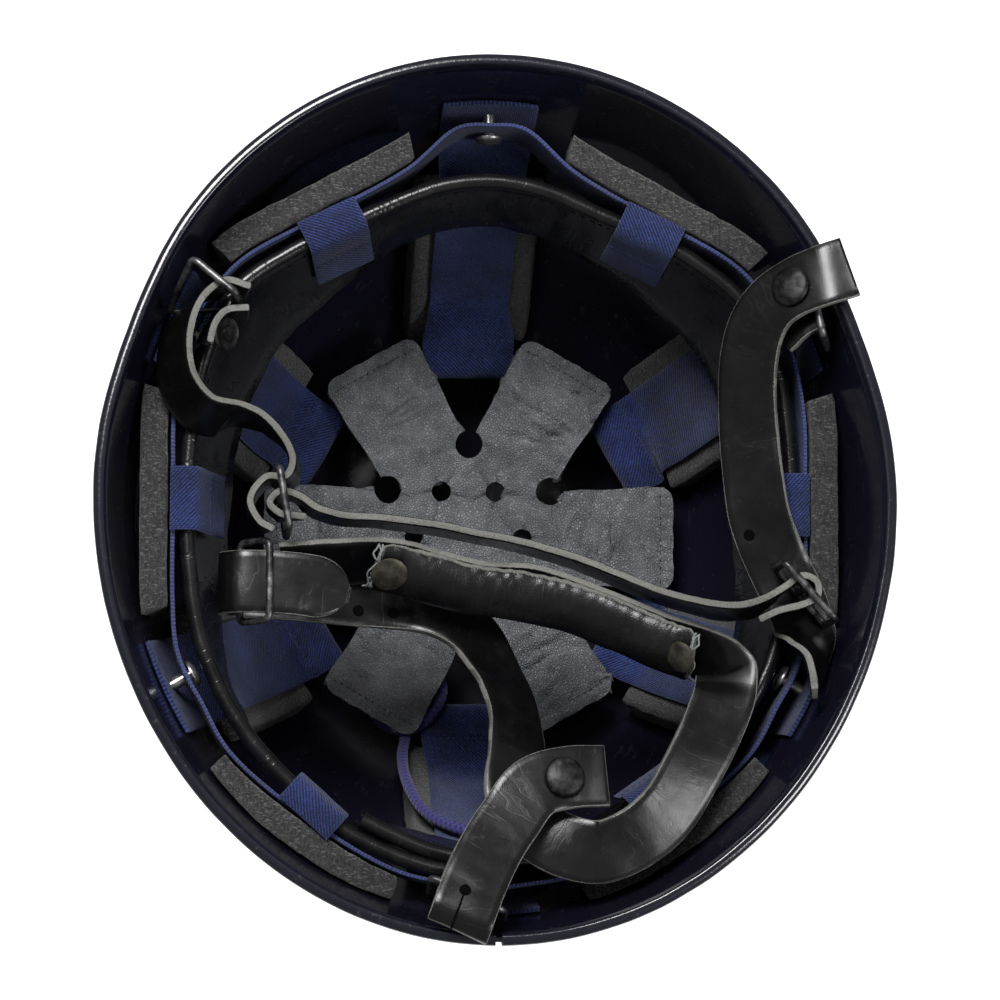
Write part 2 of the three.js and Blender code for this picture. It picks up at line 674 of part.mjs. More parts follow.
// Leather harness. Routes are x, y, z, then the bearing the width points to and how far it dips
const harness = {
  leftStrap: [
    [-79, 65, 165, 90, 88], [-86.5, 66.8, 165.4, 95, 88], [-92.6, 62.4, 166.2, 140, 84],
    [-96.4, 54.6, 166, 165, 74], [-97.8, 45.5, 164, 185, 64], [-96, 37, 162.4, 205, 60],
    [-90.4, 30.4, 160.4, 235, 60], [-81, 28.6, 157.6, 262, 66], [-74, 25.6, 154.6, 242, 76],
    [-67.6, 19.6, 151.6, 216, 84], [-64.4, 12.4, 149, 190, 88], [-66.4, 7.2, 147, 225, 88],
    [-73, 6.6, 146, 300, 88], [-78, -0.6, 145.6, 0, 88], [-75, -7.2, 145, 60, 88],
    [-70.6, -9.8, 144.4, 80, 88],
  ],
  leftTab: [
    [-79.4, 58.2, 164, 90, 88], [-86, 57.4, 164, 100, 88], [-89.6, 53.4, 163.6, 150, 86],
    [-91, 47.6, 163, 175, 84],
  ],
  chinStrap: [
    [-60, -5.4, 140, 90, 86], [-64, -5, 141.4, 80, 88], [-68, -4.6, 142, 60, 88],
    [-71.6, -1, 142, 0, 88], [-68, 3.2, 142, 290, 88], [-62, 1.8, 141.4, 245, 88],
    [-56, -2, 139.6, 255, 88], [-48, -4, 136.6, 262, 88], [-33, -4.4, 133, 272, 88],
    [-18, -5.8, 130, 262, 86], [-3, -8.2, 128, 258, 86], [10, -10.6, 127.6, 255, 86],
    [24, -14.4, 128.4, 252, 86], [38, -20, 130.6, 250, 86], [51, -26, 137.4, 250, 86],
    [62, -30.6, 145, 255, 86], [71, -33.4, 153, 262, 86], [78.4, -34.2, 159.2, 275, 87],
    [85, -32.4, 163.4, 290, 87], [91, -29.2, 165.4, 298, 88], [96.8, -25.6, 166, 280, 88],
    [101.5, -27.6, 166, 210, 88], [101.5, -32.2, 166, 150, 88], [96.6, -34.9, 165.8, 105, 88],
    [90, -36.4, 164, 98, 88], [84, -39, 161.6, 110, 88],
  ],
  napeStrap: [
    [-68, -13.8, 137.6, 272, 48], [-61, -13.2, 137, 272, 48], [-48, -12, 135.2, 272, 50],
    [-38, -11.4, 133.6, 268, 52], [-25, -12.6, 131.6, 258, 54], [-13, -15.8, 129.8, 255, 54],
    [0, -18.6, 128.6, 262, 54], [15, -19.2, 128, 262, 54], [36, -26, 129, 250, 54],
    [58, -35.4, 133, 245, 50], [71, -40, 138, 240, 44], [79.6, -44.6, 142, 225, 32],
    [85, -51, 145, 200, 20], [85.2, -58.6, 147, 184, 12], [83.6, -66, 149, 168, 2],
    [78, -79, 150.6, 152, -6], [71, -92, 151.6, 144, -12], [63, -105, 152, 135, -14],
    [51, -116, 152.4, 118, -12], [35, -122.6, 152.6, 104, -8], [21, -121, 153, 80, -2],
    [9, -115, 153, 50, 4], [0, -106, 152.6, 22, 8], [-3, -93, 150.6, 4, 14],
    [-1, -79, 145.6, 0, 26], [-0.4, -66, 136, 5, 40], [-4.4, -54, 126, 20, 44],
    [-11.4, -44.4, 119.6, 45, 36], [-20, -40, 116, 70, 26], [-32, -38.6, 115.4, 84, 14],
    [-45, -38, 117, 88, 6], [-60, -37, 120, 90, 2], [-74, -36.4, 123.4, 90, 0],
    [-82, -36.4, 127, 90, 0], [-86.4, -36.4, 134, 90, 0], [-82, -36.4, 140, 90, 0],
    [-72, -36.4, 140.6, 90, 0], [-60, -37.4, 140.2, 90, 0], [-48, -40, 138.6, 92, 0],
  ],
  rightStrap: [
    [112, 73, 172, 100, 6], [104, 70.4, 171.4, 100, 8], [95, 67, 166, 104, 16],
    [88, 62, 161.5, 128, 26], [84, 55, 158, 155, 32], [82, 44, 154.5, 172, 34],
    [82, 33, 152, 178, 34], [82.6, 21, 150.6, 180, 30], [84, 8, 149.6, 184, 26],
    [86, -4, 148.2, 190, 20], [89.4, -13, 146.2, 200, 14], [93.6, -22, 144.4, 208, 8],
    [98, -31, 144, 214, 4], [100.6, -40, 145.8, 216, -8], [101.2, -48.6, 150, 212, -54],
    [101.6, -56, 155.4, 208, -78], [101.6, -62.4, 160, 204, -82],
  ],
  rightTab: [[101, 64, 161.4, 100, 5], [96.4, 61, 158.6, 104, 12], [91, 56, 154.6, 118, 20]],
  rearStrap: [
    [35, -89, 156, 95, 14], [23, -89.6, 157, 95, 10], [12, -93, 159, 115, 8],
    [4, -103, 162, 145, 8], [-2, -112, 165.6, 152, 6], [-8, -124, 171, 155, 4],
    [-11.6, -133, 174, 156, 2], [-13, -137.2, 172.4, 156, 0], [-11.2, -132.2, 169.4, 156, 0],
    [-8.4, -126, 159, 156, 0], [-4, -117, 149.6, 152, 2], [2, -107.4, 145.4, 144, 4],
    [9, -100.6, 144.4, 130, 8], [16, -97.4, 142.6, 112, 20],
  ],
};

// The chin pad: a padded roll of soft leather lying along the strap
const padRoute = [
  [-37, -20, 133], [-30, -21.2, 131.4], [-21, -23, 129.6], [-8, -26.6, 128], [9, -28.6, 127],
  [26.5, -32.4, 127.4], [41, -38, 129], [53.6, -43.8, 131.6], [62, -47.4, 135], [65.6, -49, 137.4],
];

function addChinPad() {
  const rows = padRoute.map(([x, y, z]) => [x, y, z, 252, 35]);
  const frames = routeFrames(rows, 20);
  const rings = frames.map(({ at, across, rise }, index) => {
    const end = Math.min(index, frames.length - 1 - index, 4);
    const half = [7.4, 9, 9, 9, 9][end];
    const thick = [1.4, 1.8, 2, 3.4, 4][end];
    return roundProfile(1, 10).map(([x, y]) => (
      at.clone().addScaledVector(across, x * half).addScaledVector(rise, -y * thick)
    ));
  });
  add('chin_pad', skin(rings), blackLeather);
  const rivet = { radius: 4.2, height: 1.2, lift: 2.3 };
  addStud('chin_pad_rivet_left', frames[1], rivet);
  addStud('chin_pad_rivet_right', frames[frames.length - 2], rivet);
}

function addHarness() {
  strap('left_side_strap', harness.leftStrap, 40, { hold: 0.5 });
  strap('left_anchor_tab', harness.leftTab, 8, { hold: 0.5 });
  const right = strap('right_side_strap', harness.rightStrap, 40, { tip: 14 });
  strap('right_anchor_tab', harness.rightTab, 6);
  strap('chin_strap', harness.chinStrap, 52, { hold: 0.5, width: leather.beltWidth });
  strap('nape_strap', harness.napeStrap, 84, { hold: 0.5, tip: 12 });
  const rear = strap('rear_anchor_strap', harness.rearStrap, 34);
  addStud('right_anchor_stud', right[5]);
  addStud('rear_anchor_stud', rear[3]);
  addChinPad();
}

// Rings of wire that tie the harness to the shell, and the buckles
function addHardware() {
  add('left_anchor_ring', wireThrough([
    [-83, 61.8, 168.4], [-97, 73.5, 166.6], [-104.6, 59.8, 145.4], [-84, 61.4, 143.2],
  ]), steel);
  add('right_anchor_ring', wireThrough([
    [99.3, 78.3, 164.4], [104.1, 52.2, 167.4], [108.5, 49.5, 152], [98.5, 72.5, 151],
  ]), steel);
  add('rear_anchor_ring', wireThrough([
    [-21, -121.3, 166], [1.8, -131.5, 166], [3, -134, 151], [-20.5, -127.5, 151],
  ]), steel);
  add('nape_buckle', wireThrough([
    [-71.4, -13.4, 143.6], [-71.4, -39, 143.6], [-80.6, -39, 133.4], [-80.6, -13.4, 133.4],
  ]), steel);
  addBuckle('left_buckle', { from: [-68.6, 9.6], to: [-65.4, -9.6], top: 150, height: 30, bar: 0.55 });
  addBuckle('right_buckle', { from: [91, -21.6], to: [107, -39.6], top: 168.4, height: 19.8, bar: 0.44 });
}

addShell();
addRimStrip();
addRing();
addFixings();
addRimPads();
addCrownPads();
addCrownStraps();
addHeadband();
addHeadLoops();
addStar();
addLace();
addHarness();
addHardware();

export default helmet;
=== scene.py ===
import json
import math

import bmesh
import bpy
from mathutils import Matrix, Vector, noise

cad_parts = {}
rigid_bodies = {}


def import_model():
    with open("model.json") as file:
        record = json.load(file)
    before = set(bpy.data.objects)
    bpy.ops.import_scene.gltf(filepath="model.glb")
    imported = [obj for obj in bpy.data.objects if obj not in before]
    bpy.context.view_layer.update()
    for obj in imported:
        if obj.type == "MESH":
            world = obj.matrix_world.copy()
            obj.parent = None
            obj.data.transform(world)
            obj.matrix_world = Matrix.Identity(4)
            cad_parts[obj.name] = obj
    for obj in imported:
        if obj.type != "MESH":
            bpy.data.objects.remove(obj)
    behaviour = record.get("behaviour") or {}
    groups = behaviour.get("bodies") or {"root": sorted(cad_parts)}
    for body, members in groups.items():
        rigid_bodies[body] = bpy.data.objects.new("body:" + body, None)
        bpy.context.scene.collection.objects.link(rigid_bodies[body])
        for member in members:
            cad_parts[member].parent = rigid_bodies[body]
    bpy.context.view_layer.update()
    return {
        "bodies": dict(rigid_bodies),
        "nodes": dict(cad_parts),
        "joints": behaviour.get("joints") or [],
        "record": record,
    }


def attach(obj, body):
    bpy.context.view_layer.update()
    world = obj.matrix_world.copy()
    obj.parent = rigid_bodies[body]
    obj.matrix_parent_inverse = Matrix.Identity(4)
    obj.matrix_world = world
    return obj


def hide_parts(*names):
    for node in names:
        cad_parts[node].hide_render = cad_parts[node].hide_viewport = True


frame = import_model()
milli = 0.001
up = Vector((0, 0, 1))
turn = math.radians
fullTurn = 2 * math.pi


# A smooth curve through points; the share runs from 0 at its start to 1 at its end
def curvePoint(points, share, closed=False):
    count = len(points)
    place = (count if closed else count - 1) * share
    index = math.floor(place)
    weight = place - index
    if closed:
        index %= count
    elif index >= count - 1:
        index, weight = count - 2, 1
    start = points[index]
    end = points[(index + 1) % count]
    before = points[index - 1] if closed or index > 0 else start * 2 - points[1]
    after = points[(index + 2) % count] if closed or index + 2 < count else end * 2 - points[count - 2]
    pairs = ((before, start), (start, end), (end, after))
    first, middle, last = [max((b - a).length_squared, 1e-12) ** 0.25 for a, b in pairs]
    leave = ((start - before) / first - (end - before) / (first + middle) + (end - start) / middle) * middle
    arrive = ((end - start) / middle - (after - start) / (middle + last) + (after - end) / last) * middle
    cubic = (start - end) * 2 + leave + arrive
    square = (end - start) * 3 - leave * 2 - arrive
    return start + leave * weight + square * weight ** 2 + cubic * weight ** 3


def curveTangent(points, share, closed=False):
    low, high = share - 1e-4, share + 1e-4
    if closed:
        low, high = low % 1, high % 1
    else:
        low, high = max(low, 0), min(high, 1)
    return (curvePoint(points, high, closed) - curvePoint(points, low, closed)).normalized()


# Small helpers: a value between two, a soft step from 0 to 1, and smooth noise of a given size
def mixed(low, high, share):
    return low + (high - low) * share


def polar(reach, bearing, height=0.0):
    return Vector((reach * math.cos(bearing), reach * math.sin(bearing), height))


def smoothed(value, low, high):
    share = min(max((value - low) / (high - low), 0), 1)
    return share * share * (3 - 2 * share)


def grain(point, size, seed=0.0):
    return noise.noise(Vector(point) / size + Vector((seed, seed * 1.7, -seed)))


# A socket that takes part in Python expressions
class Signal:
    tree = None

    def __init__(self, socket):
        self.socket = socket

    @classmethod
    def node(cls, kind, settings=None, inputs=None, output=0):
        made = cls.tree.nodes.new(kind)
        for key, value in (settings or {}).items():
            setattr(made, key, value)
        for key, value in (inputs or {}).items():
            cls.feed(value, made.inputs[key])
        return cls(made.outputs[output]) if made.outputs else made

    @classmethod
    def feed(cls, value, target):
        if isinstance(value, Signal):
            cls.tree.links.new(value.socket, target)
        elif isinstance(value, (tuple, list)) and len(value) == 3 and target.type == "RGBA":
            target.default_value = (*value, 1)
        else:
            target.default_value = value

    def maths(self, operation, first=0.0, second=0.0):
        return Signal.node("ShaderNodeMath", {"operation": operation}, {0: self, 1: first, 2: second})

    def __add__(self, other):
        return self.maths("ADD", other)

    def __radd__(self, other):
        return self.maths("ADD", other)

    def __sub__(self, other):
        return self.maths("SUBTRACT", other)

    def __rsub__(self, other):
        return Signal.node("ShaderNodeMath", {"operation": "SUBTRACT"}, {0: other, 1: self})

    def __mul__(self, other):
        return self.maths("MULTIPLY", other)

    def __rmul__(self, other):
        return self.maths("MULTIPLY", other)

    def sine(self):
        return self.maths("SINE")

    def size(self):
        return self.maths("ABSOLUTE")

    def between(self, low, high):
        return Signal.node(
            "ShaderNodeMapRange", {"interpolation_type": "SMOOTHSTEP"}, {0: self, 1: low, 2: high, 3: 0.0, 4: 1.0}
        )

    def blend(self, low, high):
        return Signal.node(
            "ShaderNodeMix", {"data_type": "RGBA"}, {"Factor": self, 6: low, 7: high}, 2
        )

    def scaled(self, amounts):
        return Signal.node("ShaderNodeVectorMath", {"operation": "MULTIPLY"}, {0: self, 1: amounts})

    def parts(self):
        first = Signal.node("ShaderNodeSeparateXYZ", inputs={0: self})
        return [Signal(socket) for socket in first.socket.node.outputs]


# The lay of a strip: millimetres along it, millimetres across it, and 1 at its cut edges
def layPlace():
    return Signal.node("ShaderNodeAttribute", {"attribute_name": "lay"}, output=1)


# The place on the piece in millimetres, and patterns of a size in millimetres
def placed():
    return Signal.node("ShaderNodeTexCoord", output=3).scaled((1000, 1000, 1000))


def clouds(where, size, detail=3.0, roughness=0.55):
    inputs = {"Vector": where, "Scale": 1 / size, "Detail": detail, "Roughness": roughness}
    return Signal.node("ShaderNodeTexNoise", inputs=inputs)


def cells(where, size, feature="DISTANCE_TO_EDGE"):
    return Signal.node("ShaderNodeTexVoronoi", {"feature": feature}, {"Vector": where, "Scale": 1 / size})


def newMaterial(name, build, *finish):
    made = bpy.data.materials.new(name)
    made.use_nodes = True
    Signal.tree = made.node_tree
    Signal.tree.nodes.clear()
    values = build(*finish)
    if "Bump" in values:
        height, depth = values.pop("Bump")
        bump = {"Strength": 1.0, "Distance": depth * milli, "Height": height}
        values["Normal"] = Signal.node("ShaderNodeBump", inputs=bump)
    surface = Signal.node("ShaderNodeBsdfPrincipled", inputs=values)
    Signal.node("ShaderNodeOutputMaterial", inputs={"Surface": surface})
    return made


# Finishes: colours, and the sizes of their patterns in millimetres
paint = {
    "dark": (0.0062, 0.0057, 0.0125), "scuffed": (0.032, 0.031, 0.05), "patch": 34, "speck": 5.2, "scuff": 7,
    "ripple": 2.6, "relief": 0.05, "roughness": 0.17,
}
rimPaint = {
    "dark": (0.005, 0.005, 0.011), "worn": (0.03, 0.03, 0.036), "wear": 3, "ripple": 1.6, "relief": 0.06,
    "roughness": 0.2,
}
webbing = {
    "dark": (0.0028, 0.0052, 0.024), "blue": (0.032, 0.058, 0.225), "edge": (0.07, 0.08, 0.2), "twill": 1.25,
    "lean": 0.9, "rib": 0.62, "fray": 0.8, "fleck": 0.42, "patch": 16, "relief": 0.24,
}
thread = {"dark": (0.004, 0.006, 0.024), "light": (0.03, 0.042, 0.13), "twist": 0.5, "relief": 0.1}
fray = {"dark": (0.05, 0.06, 0.06), "light": (0.26, 0.29, 0.28), "patch": 1.2}
felt = {
    "dark": (0.002, 0.002, 0.002), "light": (0.033, 0.032, 0.031), "lint": (0.18, 0.176, 0.165), "fibre": 0.75,
    "lintSize": 0.62, "patch": 7, "relief": 0.7,
}
rawLeather = {"dark": (0.04, 0.04, 0.037), "light": (0.235, 0.232, 0.212), "fluff": 0.6}
braid = {"dark": (0.009, 0.008, 0.045), "light": (0.042, 0.038, 0.2), "pitch": 2, "strands": 3, "relief": 0.16}
shade = {"dark": (0.0004, 0.0004, 0.0004), "light": (0.002, 0.002, 0.002), "patch": 0.8}

# Leathers: raw is how much of a cut edge shows, pores and creases are their shares of the relief; the crease share also
# darkens the colour along the creases as painted shade
bandLeather = {
    "dark": (0.003, 0.003, 0.0035), "light": (0.013, 0.013, 0.014), "raw": 0.3, "roughness": 0.17,
    "poreSize": 0.9, "pores": 0.08, "creases": 0.5, "relief": 0.18,
}
greyLeather = {
    "dark": (0.06, 0.063, 0.07), "light": (0.23, 0.235, 0.25), "raw": 0.25, "roughness": 0.4,
    "poreSize": 0.9, "pores": 1.0, "creases": 0.2, "relief": 0.24,
}
strapLeather = {
    "dark": (0.0022, 0.0022, 0.0024), "light": (0.010, 0.0098, 0.010), "raw": 1.0, "roughness": 0.22,
    "poreSize": 0.8, "pores": 0.04, "creases": 0.12, "relief": 0.16,
}
padLeather = {
    "dark": (0.003, 0.003, 0.0032), "light": (0.013, 0.013, 0.0135), "raw": 1.0, "roughness": 0.27,
    "poreSize": 0.85, "pores": 0.16, "creases": 0.25, "relief": 0.14,
}

# Metals: colour where it is dull and where it is bright
steelWire = {"dull": (0.035, 0.035, 0.036), "bright": (0.2, 0.2, 0.2), "roughness": 0.26}
darkStud = {"dull": (0.012, 0.012, 0.012), "bright": (0.05, 0.05, 0.05), "roughness": 0.3}
nickel = {"dull": (0.16, 0.16, 0.16), "bright": (0.5, 0.5, 0.5), "roughness": 0.16}
agedRivet = {"dull": (0.05, 0.046, 0.037), "bright": (0.12, 0.11, 0.086), "roughness": 0.3}


def paintLook():
    where = placed()
    wear = clouds(where, paint["patch"], 2)
    specks = cells(where, paint["speck"], "F1").between(0.1, 0.04)
    scuffs = clouds(where.scaled((1, 0.14, 1)), paint["scuff"], 3, 0.7).between(0.58, 0.74)
    return {
        "Base Color": (scuffs * 0.3 + specks * 0.5).blend(paint["dark"], paint["scuffed"]),
        "Roughness": paint["roughness"] + wear * 0.12 + scuffs * 0.14 + specks * 0.2,
        "Specular IOR Level": 0.5,
        "Coat Weight": 0.35, "Coat Roughness": 0.1,
        "Bump": (clouds(where, paint["ripple"], 2) + specks * 0.35, paint["relief"]),
    }


def rimLook():
    where = placed()
    wear = clouds(where, rimPaint["wear"], 4, 0.65).between(0.58, 0.74)
    return {
        "Base Color": wear.blend(rimPaint["dark"], rimPaint["worn"]),
        "Roughness": rimPaint["roughness"] + wear * 0.12, "Metallic": wear * 0.2,
        "Coat Weight": 0.4, "Coat Roughness": 0.1,
        "Bump": (clouds(where, rimPaint["ripple"], 3), rimPaint["relief"]),
    }


def webbingLook():
    along, across, edge = layPlace().parts()
    where = placed()
    fuzz = clouds(where, webbing["fray"], 2)
    twill = ((along + across * webbing["lean"] + fuzz * 0.35) * (fullTurn / webbing["twill"])).sine()
    ribs = (across * (fullTurn / webbing["rib"])).sine()
    weave = twill * 0.5 + ribs * 0.2
    worn = clouds(where, webbing["patch"], 2)
    flecks = clouds(where, webbing["fleck"], 2).between(0.56, 0.7)
    tone = (weave * 0.52 + 0.3 + (worn - 0.5) * 0.8 + (fuzz - 0.5) * 0.9 + flecks * 0.25).between(0, 1)
    return {
        "Base Color": (edge * 0.35).blend(tone.blend(webbing["dark"], webbing["blue"]), webbing["edge"]),
        "Roughness": 0.86, "Specular IOR Level": 0.25,
        "Sheen Weight": 0.12, "Sheen Roughness": 0.5,
        "Bump": (weave + fuzz * 1.4 + flecks * 0.5, webbing["relief"]),
    }


def threadLook():
    twist = clouds(placed(), thread["twist"], 2)
    return {
        "Base Color": twist.blend(thread["dark"], thread["light"]), "Roughness": 0.8,
        "Bump": (twist, thread["relief"]),
    }


def frayLook():
    return {"Base Color": clouds(placed(), fray["patch"], 2).blend(fray["dark"], fray["light"]), "Roughness": 0.9}


def feltLook():
    where = placed()
    fibres = clouds(where.scaled((1, 0.32, 1)), felt["fibre"], 3, 0.75)
    lint = clouds(where.scaled((0.4, 1, 1)), felt["lintSize"], 1, 0.7).between(0.59, 0.68)
    patches = clouds(where, felt["patch"], 1)
    tone = (patches * 0.5 + (fibres - 0.5) * 3.4 + 0.12).between(0, 1)
    return {
        "Base Color": (lint * 0.35).blend(tone.blend(felt["dark"], felt["light"]), felt["lint"]),
        "Roughness": 0.95, "Specular IOR Level": 0.15,
        "Sheen Weight": 0.25, "Sheen Roughness": 0.6,
        "Bump": (fibres * 2.2 + patches + lint * 0.6, felt["relief"]),
    }


def leatherLook(leather):
    lay, where = layPlace(), placed()
    edge = lay.parts()[2]
    pores = cells(where, leather["poreSize"]).between(0.0, 0.3)
    mottle = clouds(where, 8, 2)
    folds = clouds(lay.scaled((1, 0.3, 0)), 6.5, 2, 0.6)
    shown = clouds(where, 19, 2).between(0.47, 0.6)
    creases = 1 - (1 - (folds - 0.5).size().between(0.0, 0.03)) * shown
    fluff = clouds(where, rawLeather["fluff"], 2, 0.75)
    raw = (edge * 1.2 + (fluff - 0.5) * 1.1 + (mottle - 0.5) * 0.8 - 0.3).between(0, 0.8) * leather["raw"]
    scuffs = clouds(where.scaled((1, 1, 0.4)), 2.4, 3, 0.75).between(0.6, 0.74)
    relief = pores * leather["pores"] + creases * leather["creases"]
    # The tone is darker along the crease lines: painted shade in the creases
    tone = (
        mottle * 0.8 + pores * (leather["pores"] * 0.35) + creases * (leather["creases"] * 0.4) + scuffs * 0.4 - 0.3
    ).between(0, 1)
    skin, flesh = tone.blend(leather["dark"], leather["light"]), fluff.blend(rawLeather["dark"], rawLeather["light"])
    return {
        "Base Color": raw.blend(skin, flesh),
        "Roughness": leather["roughness"] + mottle * 0.14 + (1 - creases) * 0.1 + raw * 0.4 + scuffs * 0.12,
        "Specular IOR Level": 0.42,
        "Bump": (relief + mottle * 0.7 + raw * fluff * 1.6, leather["relief"]),
    }


def braidLook():
    along, sideways, rising = layPlace().parts()
    around = rising.maths("ARCTAN2", sideways) * braid["strands"]
    run = along * (fullTurn / braid["pitch"])
    plait = (run + around).sine().maths("MAXIMUM", (run - around).sine())
    tone = (plait * 0.4 + clouds(placed(), 0.6, 3) * 0.8).between(0.1, 1)
    return {
        "Base Color": tone.blend(braid["dark"], braid["light"]),
        "Roughness": 0.78, "Sheen Weight": 0.15, "Bump": (plait, braid["relief"]),
    }


def metalLook(metal):
    where = placed()
    worn = clouds(where, 3.4, 4)
    marks = clouds(where.scaled((1, 0.2, 1)), 0.9, 3, 0.7)
    return {
        "Base Color": worn.between(0.35, 0.7).blend(metal["dull"], metal["bright"]), "Metallic": 0.85,
        "Roughness": metal["roughness"] + worn * 0.2 + marks * 0.1, "Bump": (marks + worn, 0.05),
    }


# Near-black for the strap holes and the slit: painted shade where the holes and the cut run deep
def shadeLook():
    return {
        "Base Color": clouds(placed(), shade["patch"]).blend(shade["dark"], shade["light"]), "Roughness": 0.9,
        "Specular IOR Level": 0.05,
    }


looks = {
    "paint": newMaterial("paint", paintLook),
    "rim": newMaterial("rimPaint", rimLook),
    "webbing": newMaterial("webbing", webbingLook),
    "thread": newMaterial("thread", threadLook),
    "fray": newMaterial("tornThread", frayLook),
    "felt": newMaterial("felt", feltLook),
    "band": newMaterial("bandLeather", leatherLook, bandLeather),
    "grey": newMaterial("greyLeather", leatherLook, greyLeather),
    "strap": newMaterial("strapLeather", leatherLook, strapLeather),
    "pad": newMaterial("padLeather", leatherLook, padLeather),
    "cord": newMaterial("braid", braidLook),
    "steel": newMaterial("steel", metalLook, steelWire),
    "stud": newMaterial("darkStud", metalLook, darkStud),
    "nickel": newMaterial("nickel", metalLook, nickel),
    "rivet": newMaterial("agedRivet", metalLook, agedRivet),
    "hole": newMaterial("holeShade", shadeLook),
}


# Mesh helpers. Every vertex keeps its lay, which the webbing and leather finishes read
def layerOf(mesh):
    return mesh.verts.layers.float_vector.get("lay") or mesh.verts.layers.float_vector.new("lay")


def newMesh():
    mesh = bmesh.new()
    layerOf(mesh)
    return mesh


def upward(direction):
    return direction if direction.z > 0 else -direction


# A grid laid over closed rings of points: its ends are joined to each other, or else capped
def skinRings(mesh, rings, lays=None, joined=False):
    layer = layerOf(mesh)
    count, last = len(rings[0]), len(rings) - 1
    lays = lays or [[Vector((0, 0, 0))] * count] * len(rings)
    grid = bmesh.ops.create_grid(mesh, x_segments=last, y_segments=count, size=1)["verts"]
    rows = [[None] * (count + 1) for _ in rings]
    for vert in grid:
        row, column = round((vert.co.x + 1) / 2 * last), round((1 - vert.co.y) / 2 * count)
        rows[row][column] = vert
        vert.co = rings[row][column % count]
        vert[layer] = lays[row][column % count]
    bmesh.ops.weld_verts(mesh, targetmap={row[count]: row[0] for row in rows})
    if joined:
        pairs = [(row[index], row[(index + 1) % count]) for row in (rows[0], rows[-1]) for index in range(count)]
        bmesh.ops.bridge_loops(mesh, edges=[mesh.edges.get(pair) for pair in pairs])
    else:
        mesh.faces.new(rows[0][:count])
        mesh.faces.new(rows[-1][count - 1::-1])


# Turns millimetres to metres and hands the piece over; sharp is in degrees
def finish(name, mesh, look, nodes=(), slot=None, sharp=42):
    bmesh.ops.recalc_face_normals(mesh, faces=mesh.faces)
    bmesh.ops.scale(mesh, vec=(milli, milli, milli), verts=mesh.verts)
    for face in mesh.faces:
        face.smooth = True
    for edge in mesh.edges:
        edge.smooth = len(edge.link_faces) != 2 or edge.calc_face_angle(0) < turn(sharp)
    data = bpy.data.meshes.new(name)
    mesh.to_mesh(data)
    mesh.free()
    data.materials.append(looks[look])
    piece = bpy.data.objects.new(name, data)
    bpy.context.scene.collection.objects.link(piece)
    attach(piece, "root")
    if nodes:
        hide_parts(*nodes)
    return piece


# A flat section with rounded corners: x, y and whether the point is on a cut edge
def ribbonProfile(width, thickness, count=9, corner=0.45):
    x, y = width / 2, thickness / 2
    inner = x - corner
    row = [(mixed(-inner, inner, index / (count - 1)), -y, 0) for index in range(count)]
    right = [(x, -y + corner * 0.7, 1), (x, y - corner * 0.7, 1)]
    return row + right + [(a, -b, c) for a, b, c in reversed(row)] + [(-a, -b, c) for a, b, c in right]


# A ribbon along frames (place, across, rise); a wave lifts its surface a little
def ribbon(mesh, frames, width, thickness, breadths=None, wave=None, joined=False, count=9):
    rings, lays = [], []
    run = 0.0
    previous = frames[0][0]
    endBevel = 0.35
    profile = ribbonProfile(width, thickness, count, min(0.45, thickness * 0.3))
    for index, (at, across, rise) in enumerate(frames):
        run += (at - previous).length
        previous = at
        share = breadths[index] if breadths else 1
        lift = [wave(run, x * share) if wave else 0 for x, y, edge in profile]
        rings.append([at + across * x * share + rise * (y + extra) for (x, y, edge), extra in zip(profile, lift)])
        lays.append([Vector((run, x * share, edge)) for x, y, edge in profile])
    if not joined:
        for end, step in ((0, 1), (-1, -1)):
            at, across, rise = frames[end]
            away = (at - frames[end + step][0]).normalized()
            middle = sum(rings[end], Vector()) / len(rings[end])
            outer = [point + (away - (point - middle).dot(rise) * rise) * endBevel for point in rings[end]]
            raw = [Vector((value.x, value.y, 1)) for value in lays[end]]
            rings.insert(0 if end == 0 else len(rings), outer)
            lays.insert(0 if end == 0 else len(lays), raw)
    skinRings(mesh, rings, lays, joined)


def tube(mesh, frames, radius, sides=16, joined=False, radii=None):
    rings, lays = [], []
    run = 0.0
    previous = frames[0][0]
    corners = [(math.cos(fullTurn * side / sides), math.sin(fullTurn * side / sides)) for side in range(sides)]
    for index, (at, across, rise) in enumerate(frames):
        run += (at - previous).length
        previous = at
        reach = radii[index] if radii else radius
        rings.append([at + across * x * reach + rise * y * reach for x, y in corners])
        lays.append([Vector((run, x, y)) for x, y in corners])
    skinRings(mesh, rings, lays, joined)


# Frames along a route. A row is x, y, z, the bearing its width points to, and how far that dips.
# Hold says where the route runs on the width: 0 is the middle, 0.5 one edge
def routeFrames(rows, steps, hold=0.0, width=20.0):
    line = [Vector(row[:3]) for row in rows]
    lean = [
        Vector((
            math.cos(turn(dip)) * math.cos(turn(bearing)),
            math.cos(turn(dip)) * math.sin(turn(bearing)),
            -math.sin(turn(dip)),
        )) for _, _, _, bearing, dip in rows
    ]
    frames = []
    for step in range(steps + 1):
        share = step / steps
        tangent = curveTangent(line, share)
        rise = tangent.cross(curvePoint(lean, share)).normalized()
        across = rise.cross(tangent).normalized()
        frames.append((curvePoint(line, share) + across * hold * width, across, rise))
    return frames


# A turned part from (radius, height) pairs
def lathe(mesh, profile, at, axis, steps=28):
    toAxis = up.rotation_difference(axis).to_matrix()
    verts = [mesh.verts.new(at + toAxis @ Vector((radius, 0, height))) for radius, height in profile]
    edges = [mesh.edges.new(pair) for pair in zip(verts, verts[1:])]
    bmesh.ops.spin(
        mesh, geom=verts + edges, cent=at, axis=axis, steps=steps, angle=fullTurn,
        use_merge=True, use_duplicate=False,
    )
    bmesh.ops.remove_doubles(mesh, verts=mesh.verts, dist=0.002)


